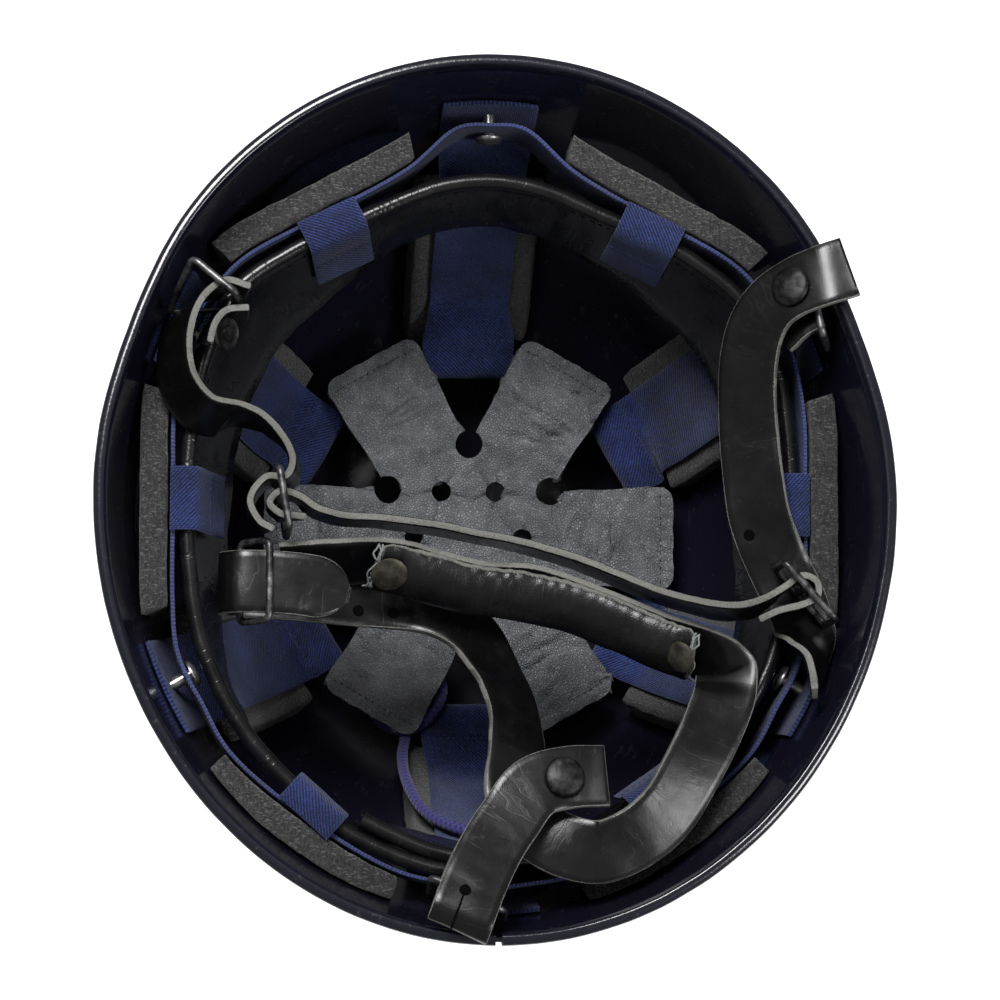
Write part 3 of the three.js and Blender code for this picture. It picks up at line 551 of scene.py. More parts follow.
# Stitches at spots of (place, direction, facing)
def stitchRow(mesh, spots, length, radius):
    flatness = 0.8
    for at, along, facing in spots:
        basis = Matrix((along, facing.cross(along), facing)).transposed().to_4x4()
        bmesh.ops.create_icosphere(
            mesh, subdivisions=1, radius=1,
            matrix=Matrix.Translation(at) @ basis @ Matrix.Diagonal((length / 2, radius, radius * flatness, 1)),
        )


# Camera
cameraPlan = {
    "place": (-103.1, -160.7, 1351.0), "target": (0.558, -2.57, 166.0), "lens": 136.7, "sensor": 36, "farClip": 20,
}


def addCamera():
    data = bpy.data.cameras.new("camera")
    data.lens = cameraPlan["lens"]
    data.sensor_width = cameraPlan["sensor"]
    data.clip_end = cameraPlan["farClip"]
    camera = bpy.data.objects.new("camera", data)
    place = Vector(cameraPlan["place"])
    back = (place - Vector(cameraPlan["target"])).normalized()
    right = Vector((0, 1, 0)).cross(back).normalized()
    turned = Matrix((right, back.cross(right), back)).transposed().to_4x4()
    camera.matrix_world = Matrix.Translation(place * milli) @ turned
    bpy.context.scene.collection.objects.link(camera)
    bpy.context.scene.camera = camera


addCamera()

# The lace runs round the crown at its tied places, and then its spare length lies at the rear
lace = {
    "radius": 1.9, "ringRadius": 64, "ringHeight": 39, "firstBearing": 228, "spacing": 22, "tied": 16,
    "steps": 780, "sides": 14, "lumps": 0.03, "lumpRate": 0.31, "pathEvery": 6,
}
laceBow = [  # x, y, z
    (-18.6, -61.2, 39), (-24.5, -58, 38.8), (-28.5, -53, 38.8), (-26.5, -45.5, 40.4),
    (-20, -41.5, 43), (-13, -44.5, 43.2), (-9, -50.5, 43.6), (-9.8, -57, 45.4),
    (-14.2, -63, 46.4), (-20, -66.6, 43.8), (-26.4, -66, 42.4), (-32, -61.6, 42.8),
    (-34.4, -55.6, 43.8), (-31, -50.4, 44.8), (-25.4, -52, 45.8), (-21.6, -58, 46.8),
    (-21.2, -65, 47.2), (-22, -70.4, 47.8), (-23.2, -76.6, 54.5), (-22.4, -86, 68),
    (-18, -95.6, 80), (-11, -101, 88), (-3, -103.6, 93), (4, -104, 95.5),
    (10, -100.5, 92), (12.6, -93, 82.5), (12.8, -84, 71), (13.4, -75, 58.6),
    (13.4, -68, 50.4), (14.6, -62.4, 46.8), (18.8, -57.8, 46.4), (24, -55.6, 46), (29, -54.8, 45.6),
]


def lacePoints():
    bearings = [turn(lace["firstBearing"] - lace["spacing"] * index) for index in range(lace["tied"])]
    tied = [polar(lace["ringRadius"], bearing, lace["ringHeight"]) for bearing in bearings]
    return tied + [Vector(point) for point in laceBow]


def addLace():
    points = lacePoints()
    frames = routeFrames([(*point, 0, 90) for point in points], lace["steps"])
    lumps = [1 + lace["lumps"] * math.sin(index * lace["lumpRate"]) for index in range(len(frames))]
    mesh = bmesh.new()
    tube(mesh, frames, lace["radius"], lace["sides"], radii=[lace["radius"] * lump for lump in lumps])
    piece = finish("laceCord", mesh, "cord", ["lace"], "cord", sharp=60)
    length = sum((b[0] - a[0]).length for a, b in zip(frames, frames[1:]))
    print("lace length in mm", round(length, 1))
    path = [tuple(frame[0] * milli) for frame in frames[::lace["pathEvery"]]]


addLace()
print("camera and lace made")

# Shell: a level is 0 at the crown and 1 at the rim
shell = {
    "length": 282.8, "width": 252.8, "depth": 167.2, "wall": 1.4, "flatShare": 0.1, "fullness": 2.2,
    "flare": 0.06, "flareFrom": 0.66, "flarePower": 1.6, "frontRise": 4, "earDent": 1.8, "earAngle": 24,
    "earSpread": 14, "around": 168, "levels": 40, "wideDent": 26, "wideDepth": 0.28, "smallDent": 11,
    "smallDepth": 0.07, "dentsFrom": (4, 14), "dentsUntil": (150, 160),
}
rim = {
    "metal": 0.6, "gap": 0.45, "drop": 4.2, "seam": 0.4, "corner": 0.5, "ripple": 0.12, "rippleSize": 9, "steps": 240,
}


def rimRadius(angle):
    across, along = shell["width"] / 2, shell["length"] / 2
    oval = across * along / math.hypot(along * math.cos(angle), across * math.sin(angle))
    ahead = math.degrees(math.atan2(math.sin(angle), abs(math.cos(angle))))
    return oval - shell["earDent"] * math.exp(-(((ahead - shell["earAngle"]) / shell["earSpread"]) ** 2))


def rimHeight(angle):
    return shell["depth"] - shell["frontRise"] * max(0, math.sin(angle)) ** 2


def spread(level):
    fullness = shell["fullness"]
    dome = max(1 - max(1 - level, 0) ** fullness, 0) ** (1 / fullness)
    lip = max(0, (level - shell["flareFrom"]) / (1 - shell["flareFrom"])) ** shell["flarePower"]
    return (1 - shell["flare"]) * dome + shell["flare"] * lip


flatLevel = 1 - (1 - (shell["flatShare"] / (1 - shell["flare"])) ** shell["fullness"]) ** (1 / shell["fullness"])


def outerPoint(angle, level):
    reach = rimRadius(angle) * spread(level)
    height = rimHeight(angle) * (level - flatLevel) / (1 - flatLevel)
    return Vector((reach * math.cos(angle), reach * math.sin(angle), height))


def shellFrame(angle, level):
    step = 1e-3
    higher = min(level + step, 1)
    along = (outerPoint(angle + step, level) - outerPoint(angle - step, level)).normalized()
    rising = (outerPoint(angle, higher) - outerPoint(angle, higher - step)).normalized()
    return outerPoint(angle, level), along, rising, along.cross(rising).normalized()


def insidePoint(angle, height, offset):
    level = flatLevel + (1 - flatLevel) * height / rimHeight(angle)
    at, _, _, outward = shellFrame(angle, level)
    return at - outward * (shell["wall"] + offset)


def insideRadius(angle, height):
    return insidePoint(angle, height, 0).to_2d().length


def addShell():
    around, count = shell["around"], shell["levels"]
    first = math.acos((1 - flatLevel) ** (shell["fullness"] / 2))
    levels = [
        1 - max(math.cos(mixed(first, math.pi / 2, index / count)), 0) ** (2 / shell["fullness"])
        for index in range(count + 1)
    ]

    def ringAt(level, offset):
        points = []
        for index in range(around):
            at, _, _, outward = shellFrame(fullTurn * index / around, level)
            dents = grain(at, shell["wideDent"]) * shell["wideDepth"]
            dents += grain(at, shell["smallDent"], 4) * shell["smallDepth"]
            fade = smoothed(at.z, *shell["dentsFrom"]) * (1 - smoothed(at.z, *shell["dentsUntil"]))
            points.append(at - outward * (offset + dents * fade))
        return points

    mesh = bmesh.new()
    outer = [ringAt(level, 0) for level in levels]
    inner = [ringAt(level, shell["wall"]) for level in levels[1:]]
    floor = [Vector((point.x, point.y, shell["wall"])) for point in outer[0]]
    skinRings(mesh, outer + inner[::-1] + [floor])
    finish("shellBody", mesh, "paint", ["shell"], "paint")


def addRimStrip():
    drop, gap, corner = rim["drop"], rim["gap"], rim["corner"]
    top, inside = gap + rim["metal"], -shell["wall"] - gap
    inner = inside - rim["metal"]
    profile = [
        (top, -drop), (top, top - corner), (top - corner, top), (inner + corner, top), (inner, top - corner),
        (inner, -drop), (inside, -drop), (inside, gap), (gap, gap), (gap, -drop),
    ]
    rings = []
    for index in range(rim["steps"] + 1):
        angle = turn(mixed(-90 + rim["seam"], 270 - rim["seam"], index / rim["steps"]))
        at, _, rising, outward = shellFrame(angle, 1)
        ripple = rim["ripple"] * grain(at, rim["rippleSize"])
        rings.append([at + outward * (x + ripple) + rising * y for x, y in profile])
    mesh = bmesh.new()
    skinRings(mesh, rings)
    finish("rimStripBody", mesh, "rim", ["rim_strip"], "paint", sharp=50)


addShell()
addRimStrip()
print("shell made")

# Liner ring, fixings and felt. The pads stand at bearings with the ring inset from the wall in front of them
ring = {
    "low": 121, "high": 141, "thickness": 1.4, "fixingInset": 7.2, "edgeGap": 4.5, "steps": 264, "spots": 720,
    "sway": 0.5, "swaySize": 30,
}
fixing = {"height": 130, "wallGap": 1.2, "shank": 2.0, "head": 4.6, "headThickness": 1.6, "webbingGap": 1.3}
fixingAngles = [30, 90, 150, 210, 270, 330]
padInsets = {0: 17, 60: 22, 120: 22, 180: 17, 240: 12, 300: 12}
rimPad = {"low": 117, "high": 142, "half": 34, "thickness": 9.5, "wallGap": 1, "gap": 0.8, "fill": 0.8}
crownPad = {"lowReach": 75, "high": 92, "halfWidth": 23.5, "thickness": 9, "gap": 1, "fill": 0.8}


def ringRadius(angle):
    return insideRadius(turn(angle), ring["high"]) - padInsets[angle]


def ringPath():
    points = []
    for angle in padInsets:
        middle = ringRadius(angle)
        for offset in (-16, 0, 16):
            limit = insideRadius(turn(angle + offset), ring["low"]) - ring["edgeGap"]
            points.append(polar(min(middle / math.cos(turn(offset)), limit), turn(angle + offset)))
        for offset in (25, 30, 35):
            inset = ring["fixingInset"] + (0 if offset == 30 else 0.5)
            points.append(polar(insideRadius(turn(angle + offset), fixing["height"]) - inset, turn(angle + offset)))
    return points


ringLine = ringPath()
ringSpots = [curvePoint(ringLine, index / ring["spots"], True) for index in range(ring["spots"])]


def ringReach(bearing):
    return min(ringSpots, key=lambda spot: abs(math.sin((math.atan2(spot.y, spot.x) - bearing) / 2))).length


def addRing():
    frames = []
    for step in range(ring["steps"]):
        share = step / ring["steps"]
        at = curvePoint(ringLine, share, True)
        at.z = (ring["low"] + ring["high"]) / 2
        at.z += ring["sway"] * grain(at, ring["swaySize"])
        tangent = curveTangent(ringLine, share, True)
        frames.append((at, up, tangent.cross(up).normalized()))
    mesh = bmesh.new()
    ribbon(mesh, frames, ring["high"] - ring["low"], ring["thickness"], joined=True, count=13)
    finish("ringWebbing", mesh, "webbing", ["ring_webbing"], "webbing")


def addFixings():
    for angle in fixingAngles:
        bearing = turn(angle)
        outward = polar(1, bearing)
        at = polar(insideRadius(bearing, fixing["height"]), bearing, fixing["height"])
        reach = ring["fixingInset"] + ring["thickness"] / 2 + fixing["webbingGap"]
        head, shank, foot = fixing["head"], fixing["shank"], fixing["wallGap"]
        edge, crown = 0.5, fixing["headThickness"] + 0.1
        profile = [(0, foot), (shank, foot), (shank, reach), (head, reach)]
        profile += [
            (head * math.cos(turn(step)), reach + edge + crown * math.sin(turn(step))) for step in (0, 20, 40, 60, 75)
        ]
        profile.append((0, reach + edge + crown))
        mesh = bmesh.new()
        lathe(mesh, profile, at, -outward, 24)
        finish(f"linerStud{angle}", mesh, "nickel", [f"liner_stud_{angle}"], "steel")


# Felt from rings of a few corners: more points along each side, corners drawn in a little, and a rough face
cut = {"endRows": 3, "endDraw": 0.03, "coarse": 3.2, "coarseDepth": 0.45, "fine": 1.3, "fineDepth": 0.25, "sink": 0.35}


def softRings(rings, perSide, draw, seed):
    out = []
    for row, corners in enumerate(rings):
        middle = sum(corners, Vector()) / len(corners)
        fromEnd = min(row, len(rings) - 1 - row) / cut["endRows"]
        tight = 1 - cut["endDraw"] * (1 - min(fromEnd, 1)) ** 2
        points = []
        for index, corner in enumerate(corners):
            following = corners[(index + 1) % len(corners)]
            for part in range(perSide):
                share = part / perSide
                point = corner.lerp(following, share)
                rounding = 1 - draw * abs(2 * share - 1) ** 6
                point = middle + (point - middle) * rounding * tight
                rough = grain(point, cut["coarse"], seed) * cut["coarseDepth"]
                rough += grain(point, cut["fine"], seed) * cut["fineDepth"] - cut["sink"]
                points.append(point + (point - middle).normalized() * rough)
        out.append(points)
    return out


def addRimPads():
    halfSteps = 24
    for angle in padInsets:
        rings = []
        for step in range(2 * halfSteps + 1):
            bearing = turn(angle) + math.atan(rimPad["half"] / ringRadius(angle)) * (step / halfSteps - 1)
            near = ringReach(bearing) + ring["thickness"] / 2 + rimPad["gap"]
            low, high = rimPad["low"], rimPad["high"]
            far = [
                min(near + rimPad["thickness"], insideRadius(bearing, height) - rimPad["wallGap"])
                for height in (low, high)
            ]
            rings.append([
                polar(near, bearing, low), polar(far[0], bearing, low), polar(far[1], bearing, high),
                polar(near, bearing, high),
            ])
        mesh = bmesh.new()
        skinRings(mesh, softRings(rings, 12, 0.035, angle))
        piece = finish(f"rimPadFelt{angle}", mesh, "felt", [f"rim_pad_{angle}"], "felt", sharp=80)


# The height at which the wall, taken in by an offset, has a given reach
def heightAt(bearing, offset, reach):
    low, high = 5.0, 120.0
    for _ in range(24):
        middle = (low + high) / 2
        if insidePoint(bearing, middle, offset).to_2d().length < reach:
            low = middle
        else:
            high = middle
    return low


def addCrownPads():
    thick = crownPad["gap"] + crownPad["thickness"]
    steps = 32
    for angle in fixingAngles:
        low = heightAt(turn(angle), thick, crownPad["lowReach"])
        rings = []
        for step in range(steps + 1):
            height = mixed(low, crownPad["high"], step / steps)
            radius = insideRadius(turn(angle), height)

            def place(share, offset):
                bearing = turn(angle) + math.asin(share * crownPad["halfWidth"] / radius)
                return insidePoint(bearing, height, offset)

            corners = [(share, crownPad["gap"]) for share in (-1, 0, 1)] + [(share, thick) for share in (1, 0, -1)]
            rings.append([place(*corner) for corner in corners])
        mesh = bmesh.new()
        skinRings(mesh, softRings(rings, 8, 0.02, angle))
        piece = finish(f"crownPadFelt{angle}", mesh, "felt", [f"crown_pad_{angle}"], "felt", sharp=80)


addRing()
addFixings()
addRimPads()
addCrownPads()
print("ring, fixings and pads made")

# Crown straps run over the pads from the fixings and turn under round the lace
crownStrap = {
    "width": 32, "thickness": 1.4, "steps": 150, "seamStep": 92, "seamDip": 0.45, "hemLift": 0.25,
    "pucker": 0.3, "puckerSize": 7, "puckerFrom": (20, 40), "stitchGap": 2.35, "stitchLength": 1.7,
    "stitchRadius": 0.36,
}
crownRoute = [  # height, distance in from the wall
    (138, 1.3), (129, 1.3), (120, 1.3), (111, 3.4), (103, 8.4), (96, 11.6), (84, 11.8), (72, 11.8), (61, 11.8),
    (50, 11.8), (39, 11.8),
]
crownHem = [  # reach, height
    (70, 45.2), (66, 43), (61.4, 42.2), (59, 41), (58.2, 39), (59, 36.9), (61.4, 35.8), (65.4, 35.6),
]
stitches = newMesh()


def addCrownStraps():
    width, thickness = crownStrap["width"], crownStrap["thickness"]
    for angle in fixingAngles:
        bearing = turn(angle)
        outward, along = polar(1, bearing), Vector((-math.sin(bearing), math.cos(bearing), 0))

        def section(share):
            line = []
            for height, offset in crownRoute:
                radius = insideRadius(bearing, height)
                line.append(insidePoint(bearing + math.asin(share * width / 2 / radius), height, offset))
            return line + [outward * reach + along * share * width / 2 + up * height for reach, height in crownHem]

        lines = [section(share) for share in (-1, -0.5, 0, 0.5, 1)]
        steps, seam = crownStrap["steps"], crownStrap["seamStep"]
        profile = ribbonProfile(width, thickness, 13, 0.4)
        rings, lays = [], []
        run, previous = 0.0, lines[2][0]
        for step in range(steps + 1):
            spots = [curvePoint(line, step / steps) for line in lines]
            tangent = curveTangent(lines[2], step / steps)
            across = (spots[4] - spots[0]).normalized()
            rise = tangent.cross(across).normalized()
            run += (spots[2] - previous).length
            previous = spots[2]
            facing = upward(rise)
            points = []
            dip = crownStrap["hemLift"] * smoothed(step, seam, seam + 4)
            dip -= crownStrap["seamDip"] * math.exp(-((step - seam) / 0.9) ** 2)
            for x, y, edge in profile:
                at = curvePoint(spots, (x / (width / 2) + 1) / 2)
                pucker = grain((run, x, angle), crownStrap["puckerSize"]) * smoothed(run, *crownStrap["puckerFrom"])
                points.append(at + rise * y + facing * (crownStrap["pucker"] * pucker + dip))
            rings.append(points)
            lays.append([Vector((run, x, edge)) for x, y, edge in profile])
            if step == seam:
                seats = [curvePoint(spots, place * crownStrap["stitchGap"] / width + 0.5) for place in range(-6, 7)]
                stitchRow(
                    stitches, [(seat + facing * (thickness / 2 - 0.1), across, facing) for seat in seats],
                    crownStrap["stitchLength"], crownStrap["stitchRadius"],
                )
        mesh = bmesh.new()
        skinRings(mesh, rings, lays)
        finish(f"crownStrap{angle}", mesh, "webbing", [f"crown_strap_{angle}"], "webbing")


addCrownStraps()
print("crown straps made")

# Headband: its first end lies inside its last one
headband = {
    "topHeight": 139, "lowHeight": 104, "thickness": 2, "bead": 2.6, "steps": 420, "wave": 0.9, "waveSize": 17,
    "ripple": 0.35, "rippleSize": 6, "seam": 5.2, "seamDepth": 0.35, "seamWidth": 0.8, "stitchLength": 2.0,
    "stitchRadius": 0.3, "spots": 900,
}
leafSections = [4.2, 7, 11, 15, 20, 25, 30]  # millimetres down the leather from the bead
bandRows = [  # bearing, reach at the top, reach at the foot
    (-112, 110.2, 105.4), (-107, 111.4, 106.4), (-99, 113.8, 107.6), (-90, 114.8, 108.6), (-80, 114.6, 109),
    (-70, 111.6, 107.6), (-61, 107.6, 104.6), (-45, 107, 101), (-29, 104, 95.4), (-13, 99.4, 88), (0, 98, 84),
    (13, 99.6, 85.6), (28, 104.4, 89.5), (39, 106.6, 91.4), (50, 104.6, 92), (60, 102.6, 93), (70, 102, 95),
    (82, 105, 98), (90, 106, 99), (98, 105.4, 98), (110, 102.6, 94.6), (120, 102.2, 91), (130, 104.6, 88.8),
    (141, 107.4, 88.2), (153, 104, 86), (167, 99.4, 84.6), (180, 98, 84), (193, 99.4, 88.2), (208, 104, 97.4),
    (224, 108.4, 104.8), (236, 111.4, 108.4), (245, 115.2, 110.6), (252, 117, 111.4), (260, 118.8, 111.8),
    (268, 119.8, 111.8),
]
bandLine = [Vector(row) for row in bandRows]
bandSpots = [curvePoint(bandLine, index / headband["spots"]) for index in range(headband["spots"] + 1)]


# A place on the band: down runs from 0 at its top to 1 at its foot, out is millimetres outwards
def bandPlace(degrees, down=0.0, out=0.0):
    def plain(bearing):
        spot = next((item for item in bandSpots if item.x >= bearing), bandSpots[-1])
        reach = mixed(spot.y, spot.z, down)
        return polar(reach, turn(bearing), mixed(headband["topHeight"], headband["lowHeight"], down))

    along = (plain(degrees + 1.5) - plain(degrees - 1.5)).normalized()
    return plain(degrees) + along.cross(up).normalized() * out


def addHeadband():
    mesh, bandThread = bmesh.new(), newMesh()
    rings, lays = [], []
    run, previous = 0.0, None
    bead, half = headband["bead"], headband["thickness"] / 2
    beadSection = [(-bead * math.cos(turn(a)), bead * math.sin(turn(a)), 0) for a in range(-156, 157, 24)]
    for step in range(headband["steps"] + 1):
        bearing = curvePoint(bandLine, step / headband["steps"]).x
        top = bandPlace(bearing)
        slope = bandPlace(bearing, 1) - top
        reach, down = slope.length, slope.normalized()
        outside = bandPlace(bearing, 0, 1) - top
        out = (outside - down * outside.dot(down)).normalized()
        run += (top - previous).length if previous else 0
        previous = top
        leaf = leafSections + [reach - 0.5]
        profile = beadSection + [(x, half, 0) for x in leaf] + [(reach, half - 0.5, 1), (reach, 0.5 - half, 1)]
        profile += [(x, -half, 0) for x in reversed(leaf)]
        points = []
        for x, y, edge in profile:
            wave = headband["wave"] * grain((run, x * 0.6, 3), headband["waveSize"])
            wave += headband["ripple"] * grain((run, x, 9), headband["rippleSize"])
            groove = headband["seamDepth"] * math.exp(-((x - headband["seam"]) / headband["seamWidth"]) ** 2)
            lift = wave * smoothed(x, 4, 12) + (-groove if y > 0 else groove)
            points.append(top + down * x + out * (y + lift))
        rings.append(points)
        lays.append([Vector((run, x, edge)) for x, y, edge in profile])
        if step % 2 == 0 and step < headband["steps"]:
            along = (bandPlace(bearing + 1) - bandPlace(max(bearing - 1, bandRows[0][0]))).normalized()
            seat = top + down * headband["seam"] - out * (half - 0.05)
            stitchRow(bandThread, [(seat, along, -out)], headband["stitchLength"], headband["stitchRadius"])
    skinRings(mesh, rings, lays)
    finish("headbandLeather", mesh, "band", ["headband"], "band_leather", sharp=55)
    finish("headbandStitches", bandThread, "stud", slot="band_leather")


# Webbing loops that hold the band on the ring
headLoop = {
    "width": 20.5, "thickness": 1.4, "clear": 0.9, "over": 144.2, "steps": 44, "pucker": 0.22, "puckerSize": 6,
    "stitchStep": 31, "stitchGap": 2.2, "stitchLength": 1.6, "stitchRadius": 0.34,
}


def addHeadLoops():
    for angle in padInsets:
        bearing = angle - 360 if angle > 268 else angle
        middle = bandPlace(bearing)
        middle.z = 0
        outward = bandPlace(bearing, 0, 1) - middle
        outward.z = 0
        along = outward.cross(-up)
        ringGap = ringRadius(angle) - middle.length

        def face(height):
            down = (headband["topHeight"] - height) / (headband["topHeight"] - headband["lowHeight"])
            place = bandPlace(bearing, down)
            place.z = 0
            reach = (place - middle).dot(outward)
            return reach - headband["thickness"] / 2 - headLoop["clear"] - headLoop["thickness"] / 2

        path = [  # reach from the band's top, height
            (ringGap + 0.6, headLoop["over"] - 1.2), (0.6, headLoop["over"] - 0.2),
            (-headband["bead"], headLoop["over"] - 1), (-headband["bead"] - 2, 139.5),
            (face(133) - 1.6, 133), (face(127) - 1.7, 127), (face(120) - 1.7, 120),
        ]
        line = [middle + outward * reach + up * height for reach, height in path]
        frames = []
        for step in range(headLoop["steps"] + 1):
            share = step / headLoop["steps"]
            rise = along.cross(curveTangent(line, share)).normalized()
            frames.append((curvePoint(line, share), along, rise))
        mesh = bmesh.new()
        ribbon(
            mesh, frames, headLoop["width"], headLoop["thickness"], count=11,
            wave=lambda run, x: headLoop["pucker"] * grain((run, x, angle), headLoop["puckerSize"]),
        )
        at, across, rise = frames[headLoop["stitchStep"]]
        facing = rise if rise.dot(outward) < 0 else -rise
        seat = at + facing * (headLoop["thickness"] / 2 + 0.1)
        stitchRow(
            stitches, [(seat + across * place * headLoop["stitchGap"], across, facing) for place in range(-4, 5)],
            headLoop["stitchLength"], headLoop["stitchRadius"],
        )
        finish(f"headLoopWebbing{angle}", mesh, "webbing", [f"head_loop_{angle}"], "webbing")


addHeadband()
addHeadLoops()
finish("webbingStitches", stitches, "thread", slot="webbing")
print("headband and loops made")

# Crown pad: a six-fingered piece of grey leather, sagging and creased
star = {
    "reach": 71, "root": 32.5, "halfRoot": 16.2, "halfTip": 18, "corner": 5, "notch": 4.8, "hole": 3.4,
    "holeRing": 18.8, "thickness": 2, "height": 51, "cell": 1.15, "ragged": 0.2, "sag": 5.5, "sagFrom": (12, 46),
    "swell": 0.7, "swellSize": 15, "dimple": 0.25, "dimpleSize": 4.5, "creaseWidth": 0.11, "creaseFrom": (22, 34),
    "folds": 5, "holeFold": 1.5, "notchFold": 1.1, "foldReach": 16, "seam": 4.4, "stitchGap": 2.5,
    "stitchLength": 1.8, "stitchRadius": 0.32,
}
starCreases = ((10, 1.3), (5.5, 0.75))  # size, depth
starFolds = [(polar(star["holeRing"], turn(60 * index)), star["holeFold"], index) for index in range(6)]
starFolds += [(polar(star["root"], turn(60 * index + 30)), star["notchFold"], index) for index in range(6)]


def starOutline():
    reach, corner, tip, base = star["reach"], star["corner"], star["halfTip"], star["halfRoot"]
    start = star["root"] * math.cos(turn(30)) + star["notch"]
    ragged = star["ragged"]
    points = []
    for finger in range(6):
        cosine, sine = math.cos(turn(60 * finger)), math.sin(turn(60 * finger))

        def side(sign, pace):
            edge = [
                (mixed(start, reach - corner, k / 12), mixed(base, tip, k / 12) + ragged * math.sin(k * pace + finger))
                for k in range(12)
            ]
            edge += [
                (reach - corner * (1 - math.sin(turn(a))), tip - corner * (1 - math.cos(turn(a))))
                for a in range(0, 91, 15)
            ]
            return [(x, sign * y) for x, y in edge]

        end = [
            (reach + ragged * math.sin(k * 1.7 + finger), mixed(corner - tip, tip - corner, k / 10))
            for k in range(1, 10)
        ]
        edge = side(-1, 0.9) + end + side(1, 0.8)[::-1]
        points += [Vector((x * cosine - y * sine, x * sine + y * cosine, 0)) for x, y in edge]
        notch = polar(star["root"], turn(60 * finger + 30))
        points += [notch + polar(star["notch"], turn(60 * finger + 360 - 300 * (k + 0.5) / 14)) for k in range(14)]
    return points


def starHeight(x, y):
    finger = turn(60 * round(math.degrees(math.atan2(y, x)) / 60))
    along = x * math.cos(finger) + y * math.sin(finger)
    side = y * math.cos(finger) - x * math.sin(finger)
    height = star["height"] - star["sag"] * (1 - smoothed(math.hypot(x, y), *star["sagFrom"]))
    height += star["swell"] * grain((x, y, 0), star["swellSize"])
    height += star["dimple"] * grain((x, y, 7), star["dimpleSize"])
    worn = smoothed(grain((x, y, 3), 16), -0.35, 0.25)
    for size, depth in starCreases:
        away = abs(grain((along, side * 0.38, finger + size), size))
        crease = max(0, 1 - away / star["creaseWidth"])
        height -= depth * worn * crease * smoothed(along, *star["creaseFrom"])
    for centre, size, index in starFolds:
        away = math.hypot(x - centre.x, y - centre.y)
        if away < star["foldReach"]:
            around = math.atan2(y - centre.y, x - centre.x)
            fold = max(0, math.cos(star["folds"] * around + 1.3 * grain((x, y, 9), 8) + index)) ** 3
            height -= size * math.exp(-max(away - star["hole"], 0) / 5) * fold
    fromTip = star["reach"] - along
    height += 0.3 * (1 - smoothed(fromTip, 3, 4.6)) - 0.45 * math.exp(-((fromTip - star["seam"]) / 0.7) ** 2)
    return height + 0.2 * math.sin(side * 1.7) * (1 - smoothed(fromTip, 3, 9))


def edgeLoop(mesh, points):
    verts = [mesh.verts.new(point) for point in points]
    return [mesh.edges.new((verts[index], verts[(index + 1) % len(verts)])) for index in range(len(verts))]


def addStar():
    mesh = newMesh()
    layer = layerOf(mesh)
    edges = edgeLoop(mesh, starOutline())
    for index in range(6):
        centre = polar(star["holeRing"], turn(60 * index))
        edges += edgeLoop(mesh, [centre + polar(star["hole"], turn(18 * k)) for k in range(20)])
    bmesh.ops.triangle_fill(mesh, use_beauty=True, use_dissolve=False, edges=edges)
    cell = star["cell"]
    count = int(star["reach"] / cell) + 2
    for axis in (Vector((1, 0, 0)), Vector((0, 1, 0))):
        for index in range(-count, count + 1):
            geometry = mesh.verts[:] + mesh.edges[:] + mesh.faces[:]
            bmesh.ops.bisect_plane(mesh, geom=geometry, dist=1e-4, plane_co=axis * (index * cell + 0.13), plane_no=axis)
    boundary = {vert for edge in mesh.edges if len(edge.link_faces) == 1 for vert in edge.verts}
    for vert in mesh.verts:
        vert[layer] = Vector((vert.co.x, vert.co.y, 0.85 if vert in boundary else 0))
        vert.co.z = starHeight(vert.co.x, vert.co.y)
    bmesh.ops.recalc_face_normals(mesh, faces=mesh.faces)
    bmesh.ops.solidify(mesh, geom=mesh.faces[:], thickness=star["thickness"] * 0.85)
    finish("crownStarLeather", mesh, "grey", ["crown_star"], "grey_leather", sharp=50)


def addStarStitches():
    mesh = newMesh()
    for finger in range(6):
        outward = polar(1, turn(60 * finger))
        sideways = up.cross(outward)
        for place in range(-6, 7):
            at = outward * (star["reach"] - star["seam"]) + sideways * place * star["stitchGap"]
            at.z = starHeight(at.x, at.y) + 0.1
            stitchRow(mesh, [(at, sideways, up)], star["stitchLength"], star["stitchRadius"])
    finish("starStitches", mesh, "pad", slot="grey_leather")


addStar()
addStarStitches()
print("star made")

# Harness routes: x, y, z, then the bearing the width points to and how far it dips
leather = {
    "width": 20, "beltWidth": 15, "thickness": 2.5, "wave": 0.38, "waveSize": 14, "ripple": 0.12, "rippleSize": 5,
    "holeRadius": 1.5, "slitSide": 2, "slitLength": 3.2, "slitRadius": 0.42,
}
stud = {"radius": 6.5, "height": 2.4, "lift": 2.0, "angles": (12, 28, 44, 60, 76)}
leftStrap = [
    (-79, 65, 165, 90, 88), (-86.5, 66.8, 165.4, 95, 88), (-92.6, 62.4, 166.2, 140, 84),
    (-96.4, 54.6, 166, 165, 74), (-97.8, 45.5, 164, 185, 64), (-96, 37, 162.4, 205, 60),
    (-90.4, 30.4, 160.4, 235, 60), (-81, 28.6, 157.6, 262, 66), (-74, 25.6, 154.6, 242, 76),
    (-67.6, 19.6, 151.6, 216, 84), (-64.4, 12.4, 149, 190, 88), (-66.4, 7.2, 147, 225, 88),
    (-73, 6.6, 146, 300, 88), (-78, -0.6, 145.6, 0, 88), (-75, -7.2, 145, 60, 88),
    (-70.6, -9.8, 144.4, 80, 88),
]
leftTab = [
    (-79.4, 58.2, 164, 90, 88), (-86, 57.4, 164, 100, 88), (-89.6, 53.4, 163.6, 150, 86),
    (-91, 47.6, 163, 175, 84),
]
